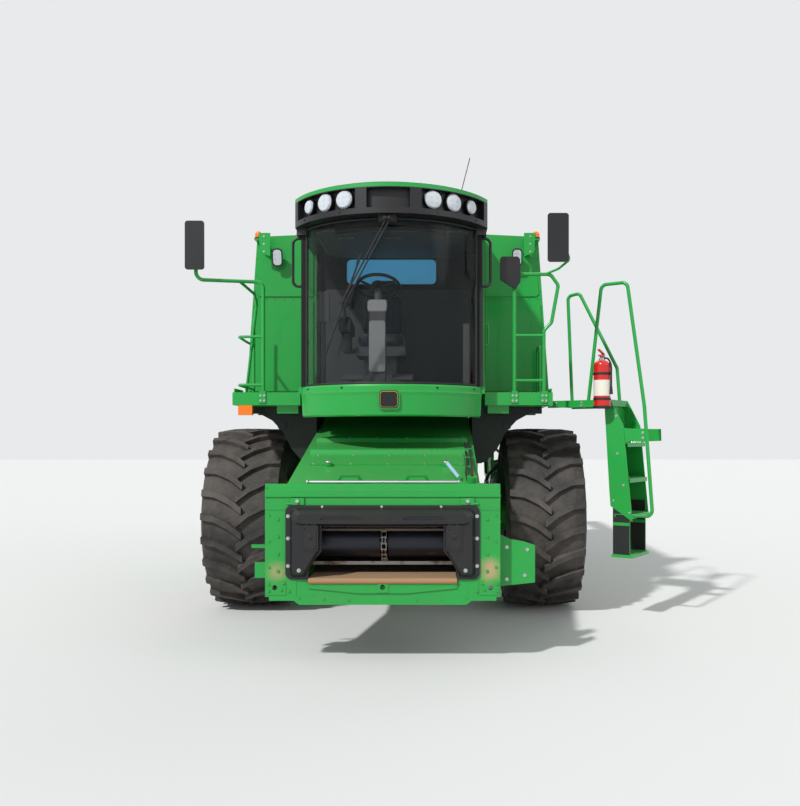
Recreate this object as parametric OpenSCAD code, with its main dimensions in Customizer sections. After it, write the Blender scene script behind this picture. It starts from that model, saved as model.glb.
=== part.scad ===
// Combine harvester without its header, standing as it parks.
// Machine axes: +Z up, -Y to the front, +X to the machine's left, where the ladder is.
// Every module is written about the front axle's centre on the ground; home() moves the
// whole machine so that the middle of its outline lies at the origin.

/* [Wheels] */
// Radius of a front tyre over its lugs
front_tyre_r = 925; // [880:5:960]
// Width of a front tyre
front_tyre_w = 785; // [700:5:800]
// Distance from the centre plane to a front tyre's middle
front_track = 1490; // [1480:5:1540]
// Radius of a front rim
front_rim_r = 405; // [380:5:440]
// Radius of a rear tyre over its lugs
rear_tyre_r = 720; // [680:5:740]
// Width of a rear tyre
rear_tyre_w = 450; // [400:5:460]
// Distance from the centre plane to a rear tyre's middle
rear_track = 1450; // [1440:5:1500]
// Radius of a rear rim
rear_rim_r = 300; // [280:5:330]
// Distance between the front and rear axles
wheelbase = 3570; // [3500:5:3640]
// Distance from the centre plane to a rear kingpin
kingpin_x = 1120; // [1100:5:1140]
// Wall of a rim and of its disc
rim_wall = 14; // [10:1:20]
// Height of a tread lug
lug_h = 48; // [40:1:55]
// Lugs on each half of a tread
lugs = 24; // [20:1:26]
// Lugs on each half of a rear tread
rear_lugs = 20; // [16:1:22]

/* [Feeder house] */
// Distance from the front axle forward to the header plate
face_reach = 2600; // [2500:5:2700]
// Width of the header plate
face_w = 1800; // [1700:5:1860]
// Height of the header plate's lower edge
face_z = 474; // [440:2:520]
// Height of the header plate from edge to edge
face_h = 924; // [900:2:960]
// Thickness of the header plate
face_t = 60; // [40:2:80]
// Outer width of the feeder house
feeder_w = 1500; // [1440:5:1540]
// Wall of the feeder house
feeder_wall = 20; // [12:1:30]
// Height of the feeder house's pivot
pivot_z = 1800; // [1780:5:1820]
// Radius of the front drum of the feeder chain
drum_r = 135; // [120:1:145]
// Pitch of the feeder chain's links
link_pitch = 50; // [44:1:56]
// Depth of the moulded shroud in front of the header plate
shroud_d = 80; // [60:2:90]
// Thickness of the header plate's sheets
sheet_t = 14; // [10:1:18]
// Radius of a lift cylinder's barrel
lift_r = 60; // [50:1:70]

/* [Cab] */
// Height of the cab floor
cab_floor_z = 2220; // [2200:5:2260]
// Height of the windscreen
cab_glass_h = 1450; // [1400:5:1480]
// Radius of the curved windscreen
screen_r = 936; // [930:2:950]
// Distance from the centre plane to the front pillars
pillar_x = 800; // [780:2:810]
// Half the width of the cab at its rear wall
cab_rear_x = 860; // [840:2:880]
// Thickness of the glass
glass_t = 8; // [6:1:10]
// Height of the roof and its visor
roof_h = 260; // [240:2:280]
// Height of the skirt below the windscreen
skirt_h = 280; // [260:2:300]
// Radius of a big roof lamp
lamp_r = 80; // [72:1:84]
// Distance from the centre plane to the operator's place, on the right
operator_x = 130; // [100:5:150]

/* [Grain tank and body] */
// Distance from the front axle back to the tank's front wall
tank_y = 50; // [40:2:80]
// Length of the grain tank
tank_l = 2450; // [2400:5:2480]
// Half the width of the tank's front wall at its foot
tank_foot_x = 1620; // [1600:2:1650]
// Half the width of the tank's front wall at its top
tank_top_x = 1500; // [1480:2:1520]
// Height of the tank's front wall at its corners
tank_top_z = 3900; // [3860:5:3940]
// Wall of the grain tank
tank_wall = 30; // [20:1:40]
// Half the width of the separator body
body_x = 720; // [700:2:730]
// Height of the seam between the body and the grain tank
deck_z = 2240; // [2220:2:2260]
// Length of the engine house
engine_house_l = 1850; // [1800:5:1900]
// Height of the engine house above the deck
engine_house_h = 1260; // [1200:5:1300]
// Radius of the unloading auger's tube
auger_r = 165; // [150:1:170]
// Height of the unloading auger's tube
auger_z = 3350; // [3330:5:3380]
// Distance from the front axle back to the auger's tip
auger_tip_y = 6100; // [6000:5:6200]

/* [Platforms] */
// Distance from the centre plane to a platform's outer edge
deck_outer_x = 1510; // [1490:2:1530]
// Thickness of a platform's edge
deck_t = 120; // [100:2:140]
// Radius of a handrail's tube
rail_r = 17; // [14:1:20]
// Width of the ladder
ladder_w = 460; // [430:5:470]
// Turn of the swung-out ladder towards the front, from straight outwards
ladder_turn = 34; // [30:1:38]
// Length of the landing that carries the ladder
landing_l = 630; // [620:5:660]

/* [Hidden] */
$fn = 48;

GREEN = "#2f8f3d";
YELLOW = "#f0c020";
BLACK = "#1c1e20";
DARK = "#2b3a33";
STEEL = "#b4b8bc";
RUBBER = "#4a443f";
GLASS = "#3a4a50aa";

gap = 0.3;
bend_lip = 0.6;
pipe_lap = 2;
frame_x = feeder_w / 2 + 15;
frame_t = 80;
flange_h = 34;
axle_z = front_tyre_r;
front_disc = -170;
rear_disc = -60;
rear_axle_y = wheelbase;
front_y = -face_reach;

cab_y = -screen_r * 0.795;
screen_y = cab_y - screen_r;
pillar_y = cab_y - sqrt(screen_r * screen_r - pillar_x * pillar_x);
screen_half = asin(pillar_x / screen_r);
cab_back_y = -90;
cab_top_z = cab_floor_z + cab_glass_h;
roof_y = cab_y - 120;
roof_r = screen_r + 40;
visor_top = cab_top_z + roof_h;
pocket_d = 60;
rear_window = [-530, 410, cab_floor_z + 1150, cab_top_z - 40];
seat_z = cab_floor_z + 430;
door_front_y = -970;
post_w = 60;
door_x = pillar_x + 30;
door_t = 44;
door_hinge = [door_x + door_t + 6, cab_back_y - post_w / 2];

tank_back_y = tank_y + tank_l;
tank_left_x = 1130;
tank_right_x = 1450;
lid_join_x = (tank_left_x - tank_right_x) / 2;
engine_y = tank_back_y;
engine_end_y = engine_y + engine_house_l;
auger_x = tank_left_x + auger_r + 60;
auger_y = tank_y + auger_r + 230;

pivot_y = -150;
feeder_inner = feeder_w / 2 - feeder_wall;
drum_y = front_y + 300;
drum_z = face_z + 456;
lift_x = 560;
lift_foot = [-270, 800];
lift_eye = [-1650, 800];
lift_mid_y = -1150;
lock_x = face_w / 2 - 73;
lock_z = face_z + 131;
chain_r = drum_r + 20;
rear_sprocket = [-350, 1595];
mouth = [575, face_z + 190, face_z + 700];
house_y = front_y + face_t;
top_slope = (2010 - face_z - face_h + 20) / (pivot_y + 200 - house_y);
lock_r = 20;
eye_r = 30;
eye_pin_r = 12;
deck_front_y = -1050;

screen_at = [engine_y + 900, deck_z + 640];
shield_x = body_x + 330;
shield_t = 40;
shield_y0 = front_tyre_r + 35;
hinge_r = 12;
barrel_l = 80;
lid_axis_z = tank_top_z - 60 + gap;
lid_hinge_y = [tank_y + 400, tank_back_y - 500];
shield_axis = [shield_x + shield_t, deck_z - hinge_r - 2];
tank_shield_y = [tank_y + 1250, tank_back_y - 300];
engine_shield_y = [engine_y + 500, engine_end_y - 350];
hood_y = engine_end_y - 40;
hood_l = 1540;
spreader_z = 1080;

hinge_x = deck_outer_x + 40;
hinge_y = tank_y - ladder_w - 165;
ladder_rail_n = landing_l + 410;
step_n = landing_l + 220;
ladder_outer_x = hinge_x + step_n * cos(ladder_turn) + ladder_w * sin(ladder_turn);
home_x = -(ladder_outer_x - (front_track + front_tyre_w / 2)) / 2;
home_y = (face_reach + shroud_d - auger_tip_y) / 2;

module home() {
  translate([home_x, home_y, 0]) children();
}

// A box between two opposite corners.
module block(p, q) {
  translate(p) cube(q - p);
}

// An outline of [y, z] points, as wide as from x0 to x1.
module side_profile(points, x0, x1) {
  translate([x0, 0, 0]) rotate([90, 0, 90]) linear_extrude(x1 - x0) polygon(points);
}

// An outline of [x, z] points, as long as from y0 to y1.
module front_profile(points, y0, y1) {
  translate([0, y1, 0]) rotate([90, 0, 0]) linear_extrude(y1 - y0) polygon(points);
}

// An outline of [x, y] points, as high as from z0 to z1.
module top_profile(points, z0, z1) {
  translate([0, 0, z0]) linear_extrude(z1 - z0) polygon(points);
}

module both_sides() {
  children();
  mirror([1, 0, 0]) children();
}

// A rectangle with round corners about the origin.
module round_rect(w, h, r) {
  square([w - 2 * r, h], center = true);
  square([w, h - 2 * r], center = true);
  for (i = [-1, 1], j = [-1, 1]) translate([i * (w / 2 - r), j * (h / 2 - r)]) circle(r);
}

// A round bar or tube from p to q.
module rod(p, q, r) {
  d = q - p;
  l = norm(d);
  translate(p) rotate([0, acos(d[2] / l), atan2(d[1], d[0])]) cylinder(h = l, r = r);
}

function unit(v) = v / norm(v);

// One round bend of a pipe at corner b, between directions u and v.
module bend(b, u, v, r, bend_r) {
  turn = acos(u * v);
  n = unit(cross(u, v));
  c = b + unit(v - u) * bend_r / cos(turn / 2);
  s = b - u * bend_r * tan(turn / 2);
  x = (s - c) / bend_r;
  y = cross(n, x);
  multmatrix([[x[0], y[0], n[0], c[0]], [x[1], y[1], n[1], c[1]], [x[2], y[2], n[2], c[2]]])
    rotate_extrude(angle = turn) translate([bend_r, 0]) circle(r + bend_lip);
}

// A tube of radius r through the points, with round bends at its corners.
module pipe(points, r, bend_r) {
  last = len(points) - 1;
  dirs = [for (i = [0:last - 1]) unit(points[i + 1] - points[i])];
  cuts = [for (i = [0:last])
    (i == 0 || i == last) ? 0 : bend_r * tan(acos(dirs[i - 1] * dirs[i]) / 2) - pipe_lap];
  for (i = [0:last - 1])
    rod(points[i] + dirs[i] * cuts[i], points[i + 1] - dirs[i] * cuts[i + 1], r);
  for (i = [1:1:last - 1]) bend(points[i], dirs[i - 1], dirs[i], r, bend_r);
}

function bead(w) = w * 0.36;

// The half outline of a tyre's casing, [radius, offset], from its bead to its crown.
function tyre_half(r, w, rim) = [
  [rim, bead(w)],
  [rim + flange_h, bead(w)],
  [rim + flange_h + 16, w * 0.42],
  [rim + (r - rim) * 0.42, w * 0.492],
  [rim + (r - rim) * 0.64, w * 0.5],
  [r - lug_h * 2.6, w * 0.488],
  [r - lug_h * 1.5, w * 0.455],
  [r - lug_h, w * 0.35]
];

// Stations of a lug across half a tread: offset, lead, half thickness, drop of its top and of its foot.
function lug_rows(w) = [
  [-w * 0.035, 0, w * 0.040, 0, lug_h + 16],
  [w * 0.13, w * 0.13, w * 0.040, 0, lug_h + 16],
  [w * 0.30, w * 0.21, w * 0.036, 5, lug_h * 1.7],
  [w * 0.468, w * 0.245, w * 0.043, 24, lug_h * 2.4]
];

function lug_point(r, x, lead, drop) =
  let (a = lead / r * 180 / PI) [x, -(r - drop) * cos(a), (r - drop) * sin(a)];

// A lug's four edges at one station, its foot a little thicker than its top.
function lug_ring(r, s) = [
  lug_point(r, s[0], s[1] - s[2], s[3]),
  lug_point(r, s[0], s[1] + s[2], s[3]),
  lug_point(r, s[0], s[1] + s[2] * 1.3, s[4]),
  lug_point(r, s[0], s[1] - s[2] * 1.3, s[4])
];

module lug(r, w) {
  rows = lug_rows(w);
  last = len(rows) - 1;
  quads = concat([[0, 3, 2, 1], [for (k = [0:3]) 4 * last + k]],
    [for (i = [0:last - 1], k = [0:3])
      [4 * i + k, 4 * i + (k + 1) % 4, 4 * i + 4 + (k + 1) % 4, 4 * i + 4 + k]]);
  polyhedron([for (s = rows) each lug_ring(r, s)],
    [for (q = quads) each [[q[0], q[1], q[2]], [q[0], q[2], q[3]]]]);
}

module tyre(r, w, rim, count) {
  half = tyre_half(r, w, rim);
  back = [for (i = [len(half) - 1:-1:0]) [half[i][0], -half[i][1]]];
  pitch = 360 / count;
  rotate([0, 90, 0]) rotate_extrude() polygon(concat(half, back));
  for (i = [0:count - 1]) {
    rotate([i * pitch, 0, 0]) lug(r, w);
    rotate([(i + 0.5) * pitch, 0, 0]) mirror([1, 0, 0]) lug(r, w);
  }
}

// A wheel's rim, disc and hub; the disc lies at offset x, towards the inside.
module rim(r, w, disc_x, hub_r) {
  e = bead(w);
  well = 60;
  rotate([0, 90, 0]) {
    rotate_extrude() polygon([
      [r - rim_wall, -e - 12], [r + flange_h, -e - 12], [r + flange_h, -e], [r, -e],
      [r, -e + 50], [r - well + rim_wall, -e + 110], [r - well + rim_wall, e - 110], [r, e - 50],
      [r, e], [r + flange_h, e], [r + flange_h, e + 12], [r - rim_wall, e + 12],
      [r - rim_wall, e - 45], [r - well, e - 100], [r - well, -e + 100], [r - rim_wall, -e + 45]
    ]);
    difference() {
      translate([0, 0, disc_x]) cylinder(h = rim_wall + 6, r = r - well + 2);
      for (a = [0:45:359]) rotate(a + 22)
        translate([r * 0.62, 0, disc_x - 1]) cylinder(h = rim_wall + 8, r = r * 0.09);
    }
    translate([0, 0, disc_x]) cylinder(h = 80, r = hub_r);
    translate([0, 0, disc_x + 79]) cylinder(h = 40, r = hub_r * 0.6);
  }
}

module main_frame() color(DARK) home() {
  top = cab_floor_z - 160;
  both_sides() {
    difference() {
      side_profile([[-700, 1500], [-160, 1500], [-160, axle_z + 140], [170, axle_z + 140],
        [170, 1400], [440, 1400], [440, 1940], [-620, top], [-700, top]], frame_x, frame_x + frame_t);
      translate([frame_x - 1, pivot_y, pivot_z]) rotate([0, 90, 0]) cylinder(h = frame_t + 2, r = 60 + gap);
    }
    // Bearing collar of the feeder house's pivot
    translate([frame_x + frame_t - 1, pivot_y, pivot_z]) rotate([0, 90, 0]) difference() {
      cylinder(h = 31, r = 120);
      translate([0, 0, -1]) cylinder(h = 33, r = 60 + gap);
    }
    block([frame_x - 1, -700, top - 70], [deck_outer_x - 60, -600, top]);
    block([frame_x - 1, -160, top - 70], [deck_outer_x - 60, -60, top]);
    block([frame_x - 1, -160, 1960], [frame_x + frame_t, -60, top]);
    // Gusset under the platform
    front_profile([[frame_x + frame_t - 1, 1500], [frame_x + frame_t + 60, 1520], [1010, 1640], [1090,
        1800],
      [1200, 1920], [1330, top - 69], [frame_x + frame_t - 1, top - 69]], -690, -660);
    // Rubber feet under the cab
    for (y = [-640, -140]) translate([frame_x + 40, y + 20, top]) cylinder(h = 100, r = 45);
    // Reflector on the gusset
    translate([1105, -689, 1870]) rotate([90, 0, 0]) cylinder(h = 16, r = 42);
  }
  block([-frame_x, 340, 1400], [frame_x, 440, 1500]);
  block([-frame_x, -700, top - 70], [frame_x, -600, top]);
  block([-frame_x, 340, 1499], [frame_x, 360, top]);
  // Hydraulic block and its pipes beside the feeder house
  block([frame_x + frame_t - 1, -560, 1560], [frame_x + frame_t + 130, -330, 1760]);
  for (z = [1600, 1660, 1720]) pipe([[frame_x + frame_t + 100, -550, z], [frame_x + frame_t + 100, -640, z],
    [frame_x + frame_t + 100 + (z - 1600) / 3, -640, top - 60]], 12, 30);
}

module front_axle() color(GREEN) home() {
  block([-880, -150, axle_z - 170], [880, 150, axle_z + 140]);
  both_sides() {
    final_drive();
    translate([1050, 0, axle_z]) rotate([0, 90, 0]) cylinder(h = front_track + front_disc - gap - 1050,
        r = 150);
    for (x = [lift_x - 75, lift_x + 50]) side_profile([[-149, lift_foot[1] - 60], [lift_foot[0] - 30,
        lift_foot[1] - 60],
      [lift_foot[0] - 60, lift_foot[1] - 30], [lift_foot[0] - 60, lift_foot[1] + 30],
      [lift_foot[0] - 30, lift_foot[1] + 60], [-149, lift_foot[1] + 60]], x, x + 25);
    rod([lift_x - 60, lift_foot[0], lift_foot[1]], [lift_x + 60, lift_foot[0], lift_foot[1]], 22);
    // Stiffening webs on the axle beam
    for (x = [200, 440]) side_profile([[149, axle_z - 170], [230, axle_z - 120], [230, axle_z + 60],
        [149, axle_z + 140]], x, x + 16);
  }
}

// A final drive's housing at the end of the front axle.
module final_drive() {
  translate([860, 0, axle_z]) rotate([0, 90, 0]) cylinder(h = 200, r = 250);
  translate([1020, 0, axle_z]) rotate([0, 90, 0]) cylinder(h = 24, r = 285);
  side_profile([[-250, axle_z], [-230, axle_z + 250], [-120, axle_z + 340], [120, axle_z + 340],
    [230, axle_z + 250], [250, axle_z]], 860, 1000);
}

module separator_body() color(GREEN) home() {
  side_profile([[440, 1060], [2700, 1060], [2900, 1180], [hood_y, 1180],
    [hood_y, deck_z], [440, deck_z]], -body_x, body_x);
  // Pressed stiffeners down both sides
  both_sides() for (y = [2500:420:hood_y - 100]) front_profile([[body_x - 1, 1260], [body_x + 24, 1290],
    [body_x + 24, deck_z - 60], [body_x - 1, deck_z - 30]], y, y + 70);
}

module cleaning_shoe() color(GREEN) home() {
  w = body_x - 40;
  side_profile([[520, 700], [2300, 700], [2680, 1060], [460, 1060]], -w, w);
  // Flanged access panels of the two auger troughs
  both_sides() for (y = [760, 1500]) side_profile([[y, 740], [y + 420, 740], [y + 480, 800], [y + 480, 980],
    [y + 420, 1030], [y, 1030], [y - 60, 980], [y - 60, 800]], w - 1, w + 18);
}

module rear_hood() color(GREEN) home() {
  w = body_x + 100;
  back = hood_y + hood_l;
  difference() {
    side_profile([[hood_y + 120, 1180], [hood_y + 1200, 1180], [back - 90, 1360], [back, 1560],
      [back, 2180], [back - 60, 2330], [hood_y + 620, 2880], [hood_y + 480, 2960], [hood_y + 200, 3010],
      [hood_y + 40, 3010], [hood_y + 40, deck_z], [hood_y, deck_z], [hood_y, 1320]], -w, w);
    side_profile([[hood_y + 150, 1100], [hood_y + 1180, 1100], [hood_y + 1180, 1230], [back - 120, 1400],
      [back - 40, 1580], [back - 40, 2160], [back - 100, 2290], [hood_y + 590, 2840], [hood_y + 460, 2910],
      [hood_y + 200, 2960], [hood_y + 80, 2960], [hood_y + 80, 1340]], -w + 40, w - 40);
    // Recessed side panels
    both_sides() side_profile([[hood_y + 260, 1460], [hood_y + 1180, 1460], [back - 160, 1640],
        [back - 160, 2120],
      [hood_y + 640, 2680], [hood_y + 260, 2760]], w - 12, w + 1);
    // Recessed rear door
    block([-520, back - 12, 1640], [520, back + 1, 2120]);
  }
  block([-w + 39, hood_y + 880, spreader_z + 120 + gap], [w - 39, hood_y + 1000, spreader_z + 190]);
  // Turned-out rim of the straw outlet
  both_sides() block([w - 1, hood_y + 150, 1170], [w + 26, hood_y + 1200, 1200]);
  // Door handle
  for (x = [-120, 100]) block([x, back - 13, 1700], [x + 20, back + 30, 1720]);
  block([-120, back + 16, 1700], [120, back + 30, 1720]);
}

module chopper_rotor() color(STEEL) home() {
  translate([0, hood_y + 340, 1500]) rotate([0, 90, 0]) {
    cylinder(h = 2 * (body_x + 60 - gap), r = 70, center = true);
    for (i = [-4:4], a = [0:90:359]) rotate(a + i * 30)
      translate([60, -5, i * 140 - 25]) cube([120, 10, 50]);
  }
}

module spreader(side) {
  translate([side * 370, hood_y + 940, spreader_z]) {
    cylinder(h = 12, r = 280);
    cylinder(h = 120, r = 50);
    translate([0, 0, -20]) cylinder(h = 21, r = 90);
    for (a = [0:60:359]) rotate(a) {
      translate([45, -4, 11]) cube([230, 8, 60]);
      translate([45, -30, 11]) cube([230, 28, 6]);
    }
  }
}

module spreader_left() color(BLACK) home() spreader(1);
module spreader_right() color(BLACK) home() spreader(-1);

module grain_elevator() color(GREEN) home() {
  x = -body_x - 240;
  side_profile([[700, 860], [730, 740], [800, 660], [900, 630], [1010, 640], [1110, 700], [1180, 790],
    [2000, 2150], [1740, 2230], [1560, 2230]], x, -body_x);
  // Boot's clean-out door, its hinge and the middle flange
  side_profile([[760, 760], [880, 680], [1020, 690], [1110, 780], [1040, 900], [820, 900]], x - 16, x + 1);
  side_profile([[1270, 1530], [1600, 1390], [1612, 1418], [1282, 1558]], x - 24, x + 1);
}

module grain_tank() color(GREEN) home() {
  seam = 3236;
  slope = (tank_foot_x - tank_top_x) / (tank_top_z - deck_z + 60);
  seam_x = tank_foot_x - (seam - deck_z + 60) * slope;
  front_profile([[-tank_foot_x, deck_z - 60], [tank_foot_x, deck_z - 60], [tank_top_x, tank_top_z],
    [0, tank_top_z + 70], [-tank_top_x, tank_top_z]], tank_y, tank_y + tank_wall);
  // Pressed panels of the front wall, parted by the seam
  both_sides() {
    front_profile([[cab_rear_x + 40, deck_z + 10], [tank_foot_x - 34, deck_z + 10], [seam_x - 26,
        seam - 60],
      [seam_x - 70, seam - 26], [cab_rear_x + 40, seam - 26]], tank_y - 14, tank_y + 1);
    front_profile([[cab_rear_x + 40, seam + 26], [seam_x - 70, seam + 26], [seam_x - 40, seam + 50],
      [tank_top_x - 36, tank_top_z - 40], [cab_rear_x + 40, tank_top_z - 10]], tank_y - 14, tank_y + 1);
    // Folded edge that runs back from the front wall, as high as an open lid leaves room for
    front_profile([[tank_foot_x - 12, deck_z - 60], [tank_foot_x, deck_z - 60],
      [tank_top_x + 70 * slope, tank_top_z - 70], [tank_top_x + 70 * slope - 12, tank_top_z - 70]],
      tank_y + tank_wall - 1, tank_y + tank_wall + 90);
  }
  difference() {
    block([-tank_right_x, tank_y + tank_wall - 1, deck_z], [tank_left_x, tank_back_y, tank_top_z - 60]);
    front_profile([[-200, deck_z + 60], [100, deck_z + 60], [tank_left_x - tank_wall, deck_z + 700],
      [tank_left_x - tank_wall, tank_top_z], [-tank_right_x + tank_wall, tank_top_z],
      [-tank_right_x + tank_wall, deck_z + 700]], tank_y + 2 * tank_wall, tank_back_y - tank_wall);
  }
  // Cross auger's trough covers on the tank's floor, and pressed ribs on its sides
  for (y = [600:480:tank_back_y - 200]) {
    tank_rib(tank_left_x, y);
    mirror([1, 0, 0]) tank_rib(tank_right_x, y);
  }
  // Brackets of the corner beacons
  both_sides() front_profile([[tank_top_x - 165, tank_top_z - 238], [tank_top_x - 60, tank_top_z - 200],
    [tank_top_x - 44, tank_top_z + 8], [tank_top_x - 165, tank_top_z + 8]], tank_y - 150, tank_y - 138);
  both_sides() {
    block([tank_top_x - 165, tank_y - 139, tank_top_z - 190], [tank_top_x - 100, tank_y + 1,
        tank_top_z - 178]);
    block([tank_top_x - 75, tank_y - 150, tank_top_z - 64], [tank_top_x + 4, tank_y + 1, tank_top_z - 52]);
  }
  // Fixed barrels of the lids' and shields' hinges
  for (y = lid_hinge_y) {
    lid_barrel(tank_left_x, y, 80);
    mirror([1, 0, 0]) lid_barrel(tank_right_x, y, 80);
  }
  both_sides() for (y = tank_shield_y) shield_barrel(y, true);
}

// A pressed rib on a side wall that lies at x.
module tank_rib(x, y) {
  front_profile([[x - 1, deck_z + 120], [x + 22, deck_z + 150], [x + 22, tank_top_z - 220], [x - 1,
      tank_top_z - 190]], y, y + 60);
}

// A hinge barrel of a tank lid beside the wall at x, as long as l, with its leaf on that wall.
module lid_barrel(x, y, l) {
  translate([x + hinge_r + 2, y, lid_axis_z]) rotate([-90, 0, 0]) cylinder(h = l, r = hinge_r);
  block([x - 1, y, lid_axis_z - 40], [x + hinge_r, y + l, lid_axis_z - 4]);
}

// A hinge barrel of a side shield; a fixed one hangs from the deck above.
module shield_barrel(y, fixed) {
  translate([shield_axis[0], y, shield_axis[1]]) rotate([-90, 0, 0]) cylinder(h = barrel_l, r = hinge_r);
  if (fixed) block([shield_axis[0] - 4, y, shield_axis[1] + 4], [shield_axis[0] + 4, y + barrel_l,
      deck_z + 1]);
}

// A lid of the tank from x0 to its hinge at x1, crowned, with pressed ribs.
module tank_lid(x0, x1) {
  z = lid_axis_z;
  front_profile([[x0, z], [x1, z], [x1, z + 30], [x0, z + 70]], tank_y + tank_wall + 10, tank_back_y - 5);
  for (y = [tank_y + 300:500:tank_back_y - 200])
    front_profile([[x0 + 60, z + 60], [x1 - 60, z + 25], [x1 - 80, z + 46], [x0 + 80, z + 84]], y, y + 50);
  // Barrels beside the fixed ones, each on a leaf over the lid's edge
  for (y = lid_hinge_y) translate([x1 + hinge_r + 2, y + barrel_l + 1, z]) {
    rotate([-90, 0, 0]) cylinder(h = barrel_l, r = hinge_r);
    translate([-hinge_r - 3, 0, 2]) cube([hinge_r + 3, barrel_l, 8]);
  }
}

module tank_lid_left() color(GREEN) home() tank_lid(lid_join_x + 5, tank_left_x);
module tank_lid_right() color(GREEN) home() mirror([1, 0, 0]) tank_lid(-lid_join_x + 5, tank_right_x);

module engine_house() color(GREEN) home() {
  z1 = deck_z + engine_house_h;
  x0 = -tank_right_x;
  x1 = tank_left_x;
  difference() {
    front_profile([[x0, deck_z], [x1, deck_z], [x1, z1 - 90], [x1 - 90, z1], [x0 + 90, z1], [x0, z1 - 90]],
      engine_y, engine_end_y);
    front_profile([[x0 + 60, deck_z + 40], [x1 - 40, deck_z + 40], [x1 - 40, z1 - 110], [x1 - 110, z1 - 40],
      [x0 + 130, z1 - 40], [x0 + 60, z1 - 110]], engine_y + 40, engine_end_y + 1);
    translate([x0 - 1, screen_at[0], screen_at[1]]) rotate([0, 90, 0]) cylinder(h = 70, r = 520);
    // Louvred openings on the left side
    for (y = [engine_y + 300, engine_y + 1040]) block([x1 - 41, y, deck_z + 420], [x1 + 1, y + 520,
        z1 - 260]);
  }
  for (y = [engine_y + 300, engine_y + 1040], i = [0:7]) {
    z = deck_z + 440 + i * 72;
    side_slat(x1 - 38, y - 1, y + 521, z);
  }
  // Grille across the rear
  for (i = [0:9]) rear_slat(deck_z + 90 + i * 108);
  for (x = [-600, 300]) block([x, engine_end_y - 40, deck_z + 39], [x + 40, engine_end_y, z1 - 39]);
  // Radiator behind the rotary screen
  block([x0 + 80, screen_at[0] - 520, deck_z + 39], [x0 + 240, screen_at[0] + 520, z1 - 39]);
  // Suction arm in front of the screen
  block([x0 - 170, screen_at[0] - 50, screen_at[1] - 40], [x0 - 110, screen_at[0] + 50, z1 - 80]);
  block([x0 - 170, screen_at[0] - 50, z1 - 106], [x0 + 40, screen_at[0] + 50, z1 - 62]);
  both_sides() for (y = engine_shield_y) shield_barrel(y, true);
}

module side_slat(x, y0, y1, z) {
  front_profile([[x, z + 30], [x + 30, z], [x + 34, z + 5], [x + 5, z + 36]], y0, y1);
}

module rear_slat(z) {
  side_profile([[engine_end_y - 36, z + 40], [engine_end_y - 4, z], [engine_end_y, z + 6],
      [engine_end_y - 30, z + 46]],
    -tank_right_x + 59, tank_left_x - 39);
}

module engine_block() color(DARK) home() {
  y0 = engine_y + 350;
  y1 = engine_end_y - 500;
  front_profile([[-260, deck_z + 40], [660, deck_z + 40], [700, deck_z + 300], [560, deck_z + 900],
      [-160, deck_z + 900],
    [-300, deck_z + 300]], y0, y1);
}

module rotary_screen() color(BLACK) home() {
  translate([-tank_right_x - 90, screen_at[0], screen_at[1]]) rotate([0, 90, 0]) {
    difference() {
      cylinder(h = 140, r = 505);
      translate([0, 0, 12]) cylinder(h = 140, r = 490);
    }
    cylinder(h = 170 - gap, r = 60);
    translate([0, 0, -8]) difference() {
      cylinder(h = 9, r = 505);
      translate([0, 0, -1]) cylinder(h = 11, r = 470);
    }
    for (a = [0:45:359]) rotate(a) translate([55, -8, -7]) cube([425, 16, 8]);
  }
}

module exhaust_stack() color(STEEL) home() {
  x = 860;
  y = engine_end_y - 400;
  z = deck_z + engine_house_h;
  translate([x, y, z]) cylinder(h = 24, r = 115);
  translate([x, y, z + 23]) cylinder(h = 260, r = 95);
  pipe([[x, y, z + 280], [x, y, z + 380], [x, y + 150, z + 440]], 62, 70);
}

// The left side shield, a pressed panel on hinge barrels.
module side_shield() {
  x0 = shield_x;
  x1 = shield_x + shield_t;
  difference() {
    side_profile([[shield_y0, 1330], [shield_y0 + 40, 1270], [shield_y0 + 110, 1250], [shield_y0 + 1240,
        1250],
      [shield_y0 + 1330, 1290], [shield_y0 + 1560, 1560], [shield_y0 + 1660, 1600], [hood_y, 1600],
      [hood_y, deck_z - gap], [shield_y0, deck_z - gap]], x0, x1);
    // Hollow back, raised field and the room for the fixed barrels
    side_profile([[shield_y0 + 40, 1340], [shield_y0 + 120, 1290], [shield_y0 + 1230, 1290],
        [shield_y0 + 1540, 1640],
      [hood_y - 40, 1640], [hood_y - 40, deck_z - 60], [shield_y0 + 40, deck_z - 60]], x0 - 1, x1 - 12);
    side_profile([[shield_y0 + 120, 1820], [hood_y - 120, 1820], [hood_y - 120, 1850], [shield_y0 + 120,
        1850]], x1 - 6, x1 + 1);
    for (y = concat(tank_shield_y, engine_shield_y))
      block([x1 - hinge_r - 4, y - 3, shield_axis[1] - hinge_r - 4], [x1 + 20, y + barrel_l + 3, deck_z]);
  }
  for (y = concat(tank_shield_y, engine_shield_y)) shield_barrel(y + barrel_l + 5, false);
  // Latch handle
  for (y = [2300, 2400]) block([x1 - 1, y, 1700], [x1 + 26, y + 14, 1714]);
  block([x1 + 18, 2300, 1700], [x1 + 26, 2414, 1714]);
}

module side_shield_left() color(GREEN) home() side_shield();
module side_shield_right() color(GREEN) home() mirror([1, 0, 0]) side_shield();

module rear_ladder() color(GREEN) home() {
  y = hood_y + hood_l;
  for (x = [300, 700]) {
    rod([x, y + 100, 1300], [x, y + 100, 2600], rail_r);
    for (z = [1550, 2200]) rod([x, y, z], [x, y + 100, z], rail_r - 3);
  }
  for (z = [1350:280:2300]) rod([300, y + 100, z], [700, y + 100, z], rail_r - 3);
}

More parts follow.
